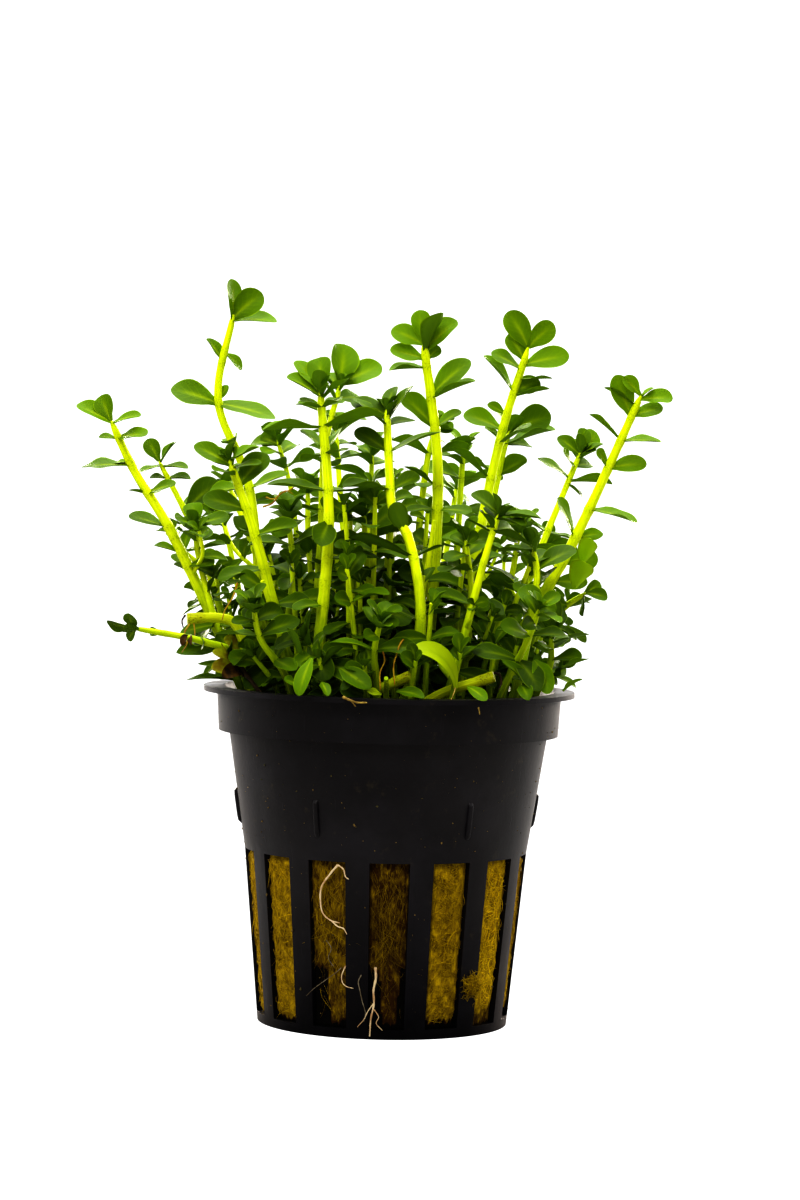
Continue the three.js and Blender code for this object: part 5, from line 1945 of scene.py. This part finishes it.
    def fibre(self, start: Points, way: Points, outward: Points, shape: tuple[float, float], wet: float,
              thick: float = 1.0) -> None:
        """Adds one curly fibre that hugs the surface it starts on.

        Args:
            start: its first point.
            way: the way it sets off.
            outward: away from the surface.
            shape: its length in millimetres and how curly it is.
            wet: how brown it is.
            thick: how thick it is beside the others.
        """
        length, curl = shape
        t = np.linspace(0, 1, self.fibre_steps)
        bend = self.rng.uniform(-1, 1) * curl
        phase = self.rng.uniform(0, 6.3)
        sway = np.sin(t * self.rng.uniform(2, 7) + phase) - math.sin(phase)
        rise = np.sin(t * math.pi) * self.rng.uniform(0.02, 0.3)
        forward = way * (t * length)[:, None]
        sideways = np.cross(outward, way) * (bend * t**2 * length * 0.5 + sway * 0.22 * curl)[:, None]
        centre = start + forward + sideways + outward * (rise - (t * length) ** 2 * 0.012)[:, None]
        centre[:, 2] = np.maximum(centre[:, 2], self.lowest_z)
        radius = self.fibre_radius * thick * self.rng.uniform(0.6, 1.3) * (1 - 0.6 * t)
        points, faces = tube(centre, radius, self.fibre_sides)
        tone = np.full(len(points), self.rng.uniform(0.1, 1.3))
        self.sketch.add(points, faces, wool_wet=np.full(len(points), wet), wool_tone=tone)

    def slot_fleece(self) -> None:
        """Adds the fibres that fill the wall's slots: felted where dry, combed down where wet."""
        pitch = 360 / POT.slot_count
        middle_z = (POT.slot_bottom_z + POT.slot_top_z) / 2
        for k in range(POT.slot_count):
            centre = POT.slot_first_turn + k * pitch
            wet = float(self.wetness_and_shade(np.array([centre]))[0])
            soaked = wet > self.soaked_from
            spread = 0.5 if soaked else 1.57
            lengths, curls = ((2.5, 7.0), (0.6, 1.8)) if soaked else ((1.0, 3.4), (0.5, 1.9))
            for _ in range(self.fibres_per_slot):
                z = self.rng.uniform(POT.slot_bottom_z + 0.4, POT.slot_top_z - 0.4)
                turn = centre + self.rng.uniform(-0.5, 0.5) * (POT.slot_width - 0.8)
                swell = float(self.bulge(np.array([turn]), z)[0])
                if swell < 0.08 and self.rng.random() < 0.9:
                    continue
                outward, aside = pot_ways(math.radians(turn))
                start = outward * (self.radius(z) + swell + self.rng.uniform(-0.1, 0.12)) + at_height(z)
                lean = self.rng.uniform(-spread, spread)
                down = 1.0 if z < middle_z else -1.0
                way = unit(aside * math.sin(lean) + at_height(down * math.cos(lean)))
                if way.dot(aside) * (centre - turn) < 0:
                    way = way - 2 * aside * way.dot(aside)
                shape = (self.rng.uniform(*lengths), self.rng.uniform(*curls))
                damp = wet + self.rng.uniform(-0.34, 0.26)
                self.fibre(start, way, outward, shape, damp, 0.65 if soaked else 1.0)

    def tuft(self) -> None:
        """Adds the tuft that sticks out of one slot near the foot."""
        outward, aside = pot_ways(math.radians(self.tuft_turn))
        for _ in range(self.fibres_in_tuft):
            z = self.tuft_z + self.rng.normal(0, 0.6)
            middle = outward * (POT.wall_radius(z) - 0.2) + aside * (self.rng.normal(0, 0.62) - 0.1)
            start = middle + at_height(z) + outward * self.rng.uniform(0, 0.6)
            lean = self.rng.uniform(0, 2 * math.pi)
            way = unit(aside * math.cos(lean) + at_height(math.sin(lean)) + outward * 0.15)
            shape = (self.rng.uniform(0.7, 1.5), self.rng.uniform(0.8, 2.2))
            self.fibre(start, way, outward, shape, self.rng.uniform(0.0, 0.4))

    def top_fleece(self) -> None:
        """Adds the tangle of fibres on the plug's top."""
        for _ in range(self.fibres_on_top):
            out, _ = pot_ways(self.rng.uniform(0, 2 * math.pi))
            side = out * (self.top_radius * math.sqrt(self.rng.random()))
            start = side + at_height(self.top_z + self.rng.uniform(-0.1, 0.4))
            angle = self.rng.uniform(0, 2 * math.pi)
            way = np.array([math.cos(angle), math.sin(angle), self.rng.uniform(-0.1, 0.35)])
            shape = (self.rng.uniform(2, 5), self.rng.uniform(0.5, 2))
            self.fibre(start, unit(way - side * 0.03), at_height(1.0), shape, self.top_wet)

    def build(self, material: Material) -> list[Piece]:
        """Makes the core and the fleece.

        Args:
            material: their finish.
        Returns:
            the core, the fleece in the slots and the fleece on top.
        """
        layers = {
            "rockwool_core": [self.core],
            "rockwool_fleece": [self.slot_fleece, self.tuft],
            "rockwool_top": [self.top_fleece],
        }
        made = []
        for name, steps in layers.items():
            self.sketch = Sketch()
            for step in steps:
                step()
            made.append(self.sketch.piece(name, material, Slot.PLUG, 180.0))
        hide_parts("rockwool_plug")
        return made


@dataclass
class Strays:
    """What clings to the pot and the plant: roots, threads, crumbs, a twig and dead leaves.

    A strand is (thickness, points). A point is (x, y, z), or (x, z) where it lies on the pot's front
    wall. A leaf is (foot, tip, how far its face turns to the front, curl).
    """

    white_roots: tuple = (
        (0.16, ((-6.7, 25.2), (-7.8, 23.8), (-9, 21.8), (-9.1, 19.6), (-8.7, 18), (-7.6, 17.1),
                (-6.3, 16.8))),
        (0.13, ((-6.7, 25.2), (-5.9, 24.6), (-5.6, 23.6), (-5.1, 23.2))),
        (0.12, ((-7.4, 17), (-6.6, 16.3), (-5.7, 16), (-5.2, 15.2))),
        (0.1, ((-5.3, 10.6), (-5.8, 9.2), (-5.7, 8.2), (-5.1, 7.6), (-4.1, 7.4))),
        (0.2, ((-1, 10.6), (-0.9, 9), (-1.2, 7.2), (-1.1, 5.2), (-1.5, 3), (-1.6, 0.5))),
        (0.09, ((-1.1, 5.4), (-1.9, 4.2), (-2.5, 2.9), (-3.4, 1.8))),
        (0.09, ((-1.2, 4.6), (-0.4, 3.4), (-0.7, 2.4), (0.2, 1.4))),
    )
    grey_roots: tuple = (
        (0.09, ((-3, 9.4), (-3.4, 8.4), (-3.2, 7.3), (-2.8, 5.6), (-2.3, 3.9), (-2.5, 2.6))),
        (0.07, ((-5.9, 10.3), (-6.8, 9.4), (-8.4, 8.1), (-9.8, 6.9), (-10.9, 5.7))),
        (0.06, ((-8.2, 14.2), (-7.4, 13), (-7.8, 11.6), (-7, 10.4))),
    )
    threads: tuple = (
        (0.14, ((2.1, -21.5, 58), (1.4, -22.4, 57), (1, -23, 55.7), (0.6, -23.6, 54), (0.8, -24, 51.4))),
        (0.13, ((-1, -21, 56), (-0.7, -22, 54.6), (-1.3, -23, 53), (-1.2, -24, 50.6))),
        (0.13, ((-22.2, -14, 65), (-22.8, -14.6, 63), (-23.9, -14.4, 61), (-24.3, -14, 59.6))),
        (0.14, ((-19, -8, 76), (-17.6, -8.6, 76.6), (-16.4, -9, 78), (-15, -9.4, 78.6), (-14.2, -9.2, 79.4))),
        (0.11, ((-18.6, -8.4, 77.4), (-17.4, -9, 77.2), (-15.8, -9.6, 78.4), (-14.6, -9.6, 78))),
        (0.12, ((-29.2, -10, 58.8), (-29.9, -10.4, 57.4), (-29.5, -10.4, 56), (-30.2, -10.8, 54.6))),
        (0.1, ((-28.6, -10, 58.8), (-28.4, -10.6, 57.2), (-29, -11, 55.8))),
    )
    dark_stems: tuple = (
        (0.5, ((-23, -11.4, 54.2), (-21.8, -12.4, 53), (-20.4, -13.4, 51.4), (-18, -14.4, 48.6))),
        (0.16, ((-29.9, -9.9, 60), (-30.3, -10.4, 59.2), (-30.1, -10.6, 58.2))),
        (0.2, ((15, -18.7, 53.2), (15.8, -19, 52.8), (16, -19.2, 51.6), (15.6, -19.4, 50.8))),
    )
    twigs: tuple = (
        (0.2, ((-6.4, -27.2, 49.7), (-5.4, -27.7, 49.3), (-4.4, -27.7, 49), (-3, -27.6, 49))),
        (0.12, ((-5.2, -27.7, 49.2), (-4.6, -27.8, 48.4))),
        (0.12, ((12.7, -25.7, 48.6), (12.9, -25.9, 47.6))),
        (0.1, ((9.4, -22.4, 51), (9.2, -24, 50.4), (8.8, -25.8, 49.6))),
    )
    fallen: tuple = (
        ((-29.2, -12.6, 57.2), (-30, -13.6, 55.2), 60, 150),
        ((-29, -12.4, 57), (-28.8, -14, 55.6), 60, 110),
        ((-22.4, -11, 52.6), (-25.6, -12.4, 52.2), 30, 150),
        ((-21, -12.6, 51.4), (-24, -15.4, 51), 40, 120), ((-23.8, -9, 54.2), (-24.8, -10, 52), 80, 120),
        ((20, -10.4, 52), (23, -12.4, 50.6), 30, 130), ((2, 22, 52), (3, 25.4, 50.6), 20, 130),
        ((-14, 19, 51), (-16.4, 21.4, 50.6), 20, 90),
    )
    fading: tuple = (
        ((-22, -11, 53.1), (-25.7, -13, 54.9), 70, 30), ((-22.2, -12, 51.8), (-26, -14.4, 52.9), 60, 50),
        ((-23.7, -12, 53.5), (-24.4, -13, 56.2), 10, 30), ((-21.8, -10, 54.6), (-24.2, -12, 56.4), 50, 60),
        ((19.4, 10, 51), (23.6, 12, 52.2), 40, 50), ((8, 20, 51), (9.6, 24.4, 51.6), 40, 60),
    )
    hanging: tuple = (
        ((-11, -24, 54.9), (-12.6, -27.2, 49.6), 10, 30), ((-7, -23.5, 53.5), (-3, -26, 50.5), 45, 20),
        ((1.1, -24, 50.5), (5.2, -26.5, 49.9), 60, 20), ((-12.8, -24, 51.1), (-14.7, -26, 51.6), 40, 20),
        ((-9.5, -24, 51.5), (-8.6, -26.8, 49.7), 20, 20), ((11.1, -23, 51.3), (13.8, -26.5, 49.6), 40, 20),
        ((19.6, -20, 52), (16, -22, 54.8), 70, 10), ((18.7, -21.5, 51.5), (19.9, -25, 49.7), 10, 30),
        ((20.7, -19, 55.1), (22.9, -23, 50.6), 30, 20), ((25, -14.5, 50.6), (27.6, -16, 52.5), 10, 10),
        ((25, -12, 53.9), (28.9, -13, 55.1), 0, 10), ((5.7, -22, 54.5), (2.5, -24, 56.1), 60, 20),
        ((-12.4, -19, 53.5), (-14.9, -21, 59.1), 10, 20), ((22, 14, 51.6), (25.2, 16.4, 49.9), 20, 40),
        ((10, 24, 51.4), (11, 27.4, 49.9), 10, 40), ((-4, 24.4, 52), (-5.4, 27.4, 49.9), 10, 40),
        ((-18, 17.6, 52), (-20.4, 20, 49.9), 10, 40), ((-25, 2, 52.4), (-28, 3, 50.2), 20, 40),
        ((24.4, -2, 52), (27.6, -2.4, 50.2), 20, 30),
    )
    # yellowing leaves near the rim, and two leaves on the right painted light green-yellow, standing in for
    # light shining through them from behind
    yellow: tuple = (
        ((9.5, -22, 51), (2.6, -24, 57.1), 55, 95), ((-1, -24.4, 50), (-3.1, -25.2, 50.6), 50, 10),
        ((27.7, -6.5, 68.6), (29.0, -11.4, 72.4), 0, 5), ((26.8, -6.5, 65.2), (28.4, -11.4, 68.9), 0, 5),
    )
    dead: PlainFinish = PlainFinish("leaf_dead", (0.09, 0.045, 0.008), (0.02, 0.012, 0.004))
    dying: PlainFinish = PlainFinish("leaf_fading", (0.27, 0.31, 0.003), (0.15, 0.11, 0.004), 420.0)
    dirt: PlainFinish = PlainFinish("crumb_dirt", (0.22, 0.14, 0.04), (0.05, 0.05, 0.02))
    # painted light: its light underside colour makes backlit leaves look lit through
    lime_and_backlit: LeafFinish = LeafFinish(
        "rotala_leaf_lime_and_backlit", (0.36, 0.46, 0.002), (0.3, 0.4, 0.002), (0.2, 0.3, 0.002), (0.46, 0.74, 0.01)
    )
    crumb_count: int = 700
    crumb_top_z: float = 48.0
    collar_flare: float = 0.05
    strand_sides: int = 7
    leaf_below: float = 12.0
    leaf_stem: float = 0.3
    lift: float = 0.16
    seed: int = 71

    def point(self, place: tuple[float, ...]) -> Points:
        """A strand's point in space.

        Args:
            place: (x, y, z), or (x, z) on the pot's front wall.
        Returns:
            the point, lifted off the wall if it lies there.
        """
        if len(place) == 3:
            return np.array(place, float)
        x, z = place
        r = POT.wall_radius(z) + self.lift
        return np.array([x, -math.sqrt(r * r - x * x), z])

    def strands(self, name: str, rows: tuple, finish: PlainFinish) -> Piece:
        """Makes one piece of strands, each one thinner towards its end.

        Args:
            name: the piece's name.
            rows: the strands.
            finish: their finish.
        Returns:
            the piece.
        """
        sketch = Sketch()
        for thickness, path in rows:
            centre = smooth_curve([self.point(place) for place in path], 8 * (len(path) - 1))
            wobble = 1 + 0.12 * np.sin(np.arange(len(centre)) * 1.3)
            radius = thickness * wobble * np.linspace(1, 0.55, len(centre))
            sketch.add(*tube(centre, radius, self.strand_sides))
        return sketch.piece(name, finish.make(), Slot.CUT)

    def leaves(self, name: str, rows: tuple, material: Material, tone: float) -> Piece:
        """Makes one piece of single leaves.

        Args:
            name: the piece's name.
            rows: the leaves.
            material: their finish.
            tone: how much older they look than others.
        Returns:
            the piece.
        """
        sketch = Sketch()
        dice = Dice(self.seed)
        for foot, tip, face, curl in rows:
            span = np.subtract(tip, foot)
            length = float(np.linalg.norm(span))
            turn = math.degrees(math.atan2(span[1], span[0]))
            rise = math.degrees(math.asin(span[2] / length)) + curl / 2
            stance = (np.array(foot, float), at_height(1.0), turn, length, rise, face, curl)
            Blade().add(sketch, Leaf(*stance, self.leaf_below, self.leaf_stem), dice, tone)
        return sketch.piece(name, material, Slot.LEAF, 70.0)

    def crumbs(self) -> Piece:
        """Makes the tiny bits of dirt and fibre on the pot's wall, collar and rim.

        Returns:
            the piece.
        """
        rng = np.random.default_rng(self.seed)
        sketch = Sketch()
        corners = np.array([[1, 0, 0], [0, 1, 0], [-1, 0, 0], [0, -1, 0], [0, 0, 1], [0, 0, -1]], float)
        faces = [[0, 1, 4], [1, 2, 4], [2, 3, 4], [3, 0, 4], [1, 0, 5], [2, 1, 5], [3, 2, 5], [0, 3, 5]]
        for _ in range(self.crumb_count):
            out, _ = pot_ways(rng.uniform(0, 2 * math.pi))
            z = rng.uniform(1.5, self.crumb_top_z)
            if z < POT.slot_top_z + 0.4 and rng.random() < 0.5:
                continue
            over = z - POT.collar_z
            r = POT.collar_radius + self.collar_flare * over if over > 0 else POT.wall_radius(z)
            size = rng.uniform(0.03, 0.085) * rng.choice([1, 1, 1, 1, 2])
            shape = corners * rng.uniform(0.4, 1.6, 3) * size + rng.normal(0, size * 0.2, (6, 3))
            sketch.add(shape + (out * (r + 0.03) + at_height(z)), faces)
        return sketch.piece("crumbs", self.dirt.make(), Slot.PLUG)

    def build(self, leaf: Material) -> list[Piece]:
        """Makes every stray.

        Args:
            leaf: the green leaves' finish, which the hanging leaves share.
        Returns:
            the pieces.
        """
        groups = (
            ("white_roots", self.white_roots, "root_white", (0.74, 0.58, 0.34), (0.5, 0.3, 0.14)),
            ("grey_roots", self.grey_roots, "root_grey", (0.24, 0.2, 0.13), (0.12, 0.09, 0.05)),
            ("aerial_roots", self.threads, "root_orange", (0.52, 0.34, 0.02), (0.3, 0.13, 0.006)),
            ("dark_stems", self.dark_stems, "stem_dead", (0.05, 0.03, 0.012), (0.016, 0.012, 0.006)),
            ("rim_twigs", self.twigs, "twig_tan", (0.36, 0.25, 0.05), (0.16, 0.1, 0.02)),
        )
        made = [self.strands(name, rows, PlainFinish(*finish)) for name, rows, *finish in groups]
        leaf_groups = (
            ("dead_leaves", self.fallen, self.dead.make(), 0.0),
            ("fading_leaves", self.fading, self.dying.make(), 0.0),
            ("hanging_leaves", self.hanging, leaf, -0.3),
            ("yellow_and_backlit_leaves", self.yellow, self.lime_and_backlit.make(), -0.4),
        )
        return made + [self.leaves(*group) for group in leaf_groups] + [self.crumbs()]


# The studio


@dataclass(frozen=True)
class SoftBox:
    """A square light: where it stands and the point that it faces, in metres, and its power in watts."""

    name: str
    place: Colour
    aim: Colour
    size: float
    watts: float
    colour: Colour = (1.0, 1.0, 1.0)

    def make(self) -> None:
        """Makes the light, unseen by the camera."""
        data = bpy.data.lights.new(self.name, "AREA")
        data.size = self.size
        data.energy = self.watts
        data.color = self.colour
        made = placed(self.name, data)
        made.location = self.place
        made.rotation_euler = (Vector(self.aim) - Vector(self.place)).to_track_quat("-Z", "Y").to_euler()
        made.visible_camera = False


@dataclass
class Studio:
    """The camera, the white floor and the soft light, which comes mostly from behind and above."""

    eye: tuple[float, float, float] = (1.28, -513.0, 79.8)
    pitch: float = 1.92
    roll: float = 1.34
    lens: float = 103.86
    sensor: float = 36.0
    room_front: float = 0.26
    room_back: float = 1.5
    room_top: float = 0.7
    floor_size: float = 6.0
    floor_drop: float = 0.02
    floor_tone: Colour = (0.22, 0.22, 0.22)
    white: float = 1.02
    lights: tuple[SoftBox, ...] = (
        SoftBox("top_light", (0.0, 0.15, 0.9), (0.0, 0.0, 0.05), 0.8, 11.0),
        SoftBox("left_light", (-0.4, 0.85, 0.3), (0.0, 0.0, 0.06), 0.36, 11.0, (1.0, 0.9, 0.8)),
        SoftBox("right_light", (0.42, 0.84, 0.3), (0.0, 0.0, 0.06), 0.36, 15.0, (1.0, 0.9, 0.8)),
        SoftBox("key_light", (-0.25, -0.7, 0.75), (0.0, 0.0, 0.08), 0.35, 4.5),
    )

    def camera(self) -> None:
        """Makes the camera at the photograph's place."""
        p = math.radians(self.pitch)
        r = math.radians(self.roll)
        forward = Vector((0, math.cos(p), -math.sin(p)))
        level = Vector((1, 0, 0))
        upright = Vector((0, math.sin(p), math.cos(p)))
        right = level * math.cos(r) + upright * math.sin(r)
        up = upright * math.cos(r) - level * math.sin(r)
        data = bpy.data.cameras.new("camera")
        data.sensor_fit = "VERTICAL"
        data.sensor_height = self.sensor
        data.lens = self.lens
        data.clip_start = 0.01
        data.clip_end = 50
        made = placed("camera", data)
        turn = Matrix((right, up, -forward)).transposed()
        made.matrix_world = Matrix.Translation(Vector(self.eye) * MM) @ turn.to_4x4()
        bpy.context.scene.camera = made

    def floor(self) -> None:
        """Makes the pale floor, white to the camera and greyer as a source of light from below."""
        mesh = bpy.data.meshes.new("floor")
        half = self.floor_size / 2
        corners = [(-half, -half, 0), (half, -half, 0), (half, half, 0), (-half, half, 0)]
        mesh.from_pydata(corners, [], [[0, 1, 2, 3]])
        recipe = Recipe.named("studio_floor")
        pale = recipe.node("BsdfDiffuse", {}, {"Color": self.floor_tone}).outputs[0]
        glow = recipe.node("Emission", {}, {"Strength": self.white}).outputs[0]
        mesh.materials.append(recipe.finish(recipe.blend(recipe.is_seen(), pale, glow)))
        made = placed("floor", mesh)
        made.location.z = -self.floor_drop * MM

    def world(self) -> None:
        """Makes the white surroundings: bright behind, softer above, dim on the camera's side."""
        world = bpy.data.worlds.new("white_room")
        recipe = Recipe(world)
        _, depth, height = recipe.parts(recipe.node("TexCoord", {}, {}).outputs["Generated"])
        behind = recipe.between(depth, -0.5, 0.6) * (self.room_back - self.room_front)
        glow = self.room_front + behind + recipe.between(height, 0.2, 0.9) * self.room_top
        strength = glow + recipe.is_seen() * (self.white - glow)
        background = recipe.node("Background", {}, {"Color": (1.0, 1.0, 1.0), "Strength": strength})
        recipe.node("OutputWorld", {}, {"Surface": background.outputs[0]})
        bpy.context.scene.world = world

    def build(self) -> None:
        """Sets everything up."""
        self.world()
        self.floor()
        self.camera()
        for light in self.lights:
            light.make()
        settings = bpy.context.scene.view_settings
        settings.view_transform = "Standard"
        settings.look = "High Contrast"


def main() -> None:
    """Builds the plant in its pot, piece by piece, and the studio round it."""
    logging.basicConfig(level=logging.INFO, format="%(name)s: %(message)s")
    Studio().build()
    growth = Growth(SHOOTS + CUT_ENDS)
    growth.grow()
    growth.add_buds()
    growth.thicken()
    young, sides = Undergrowth(growth).build(len(SHOOTS))
    leaf = LeafFinish().make()
    shoots = Shoots(growth, leaf, StemFinish().make())
    pieces = NetPot().build(PotFinish().make())
    pieces += RockwoolPlug().build(RockwoolFinish().make())
    pieces += shoots.build()
    pieces += Strays().build(leaf)
    pieces += shoots.crowd("young_shoots", young)
    pieces += shoots.crowd("side_shoots", sides)
    for piece in pieces:
        LOG.info("%s has %d faces", piece.name, len(piece.data.polygons))
    LOG.info("%d leaves", sum(len(leaves) for leaves in growth.leaves))


if __name__ == "__main__":
    main()
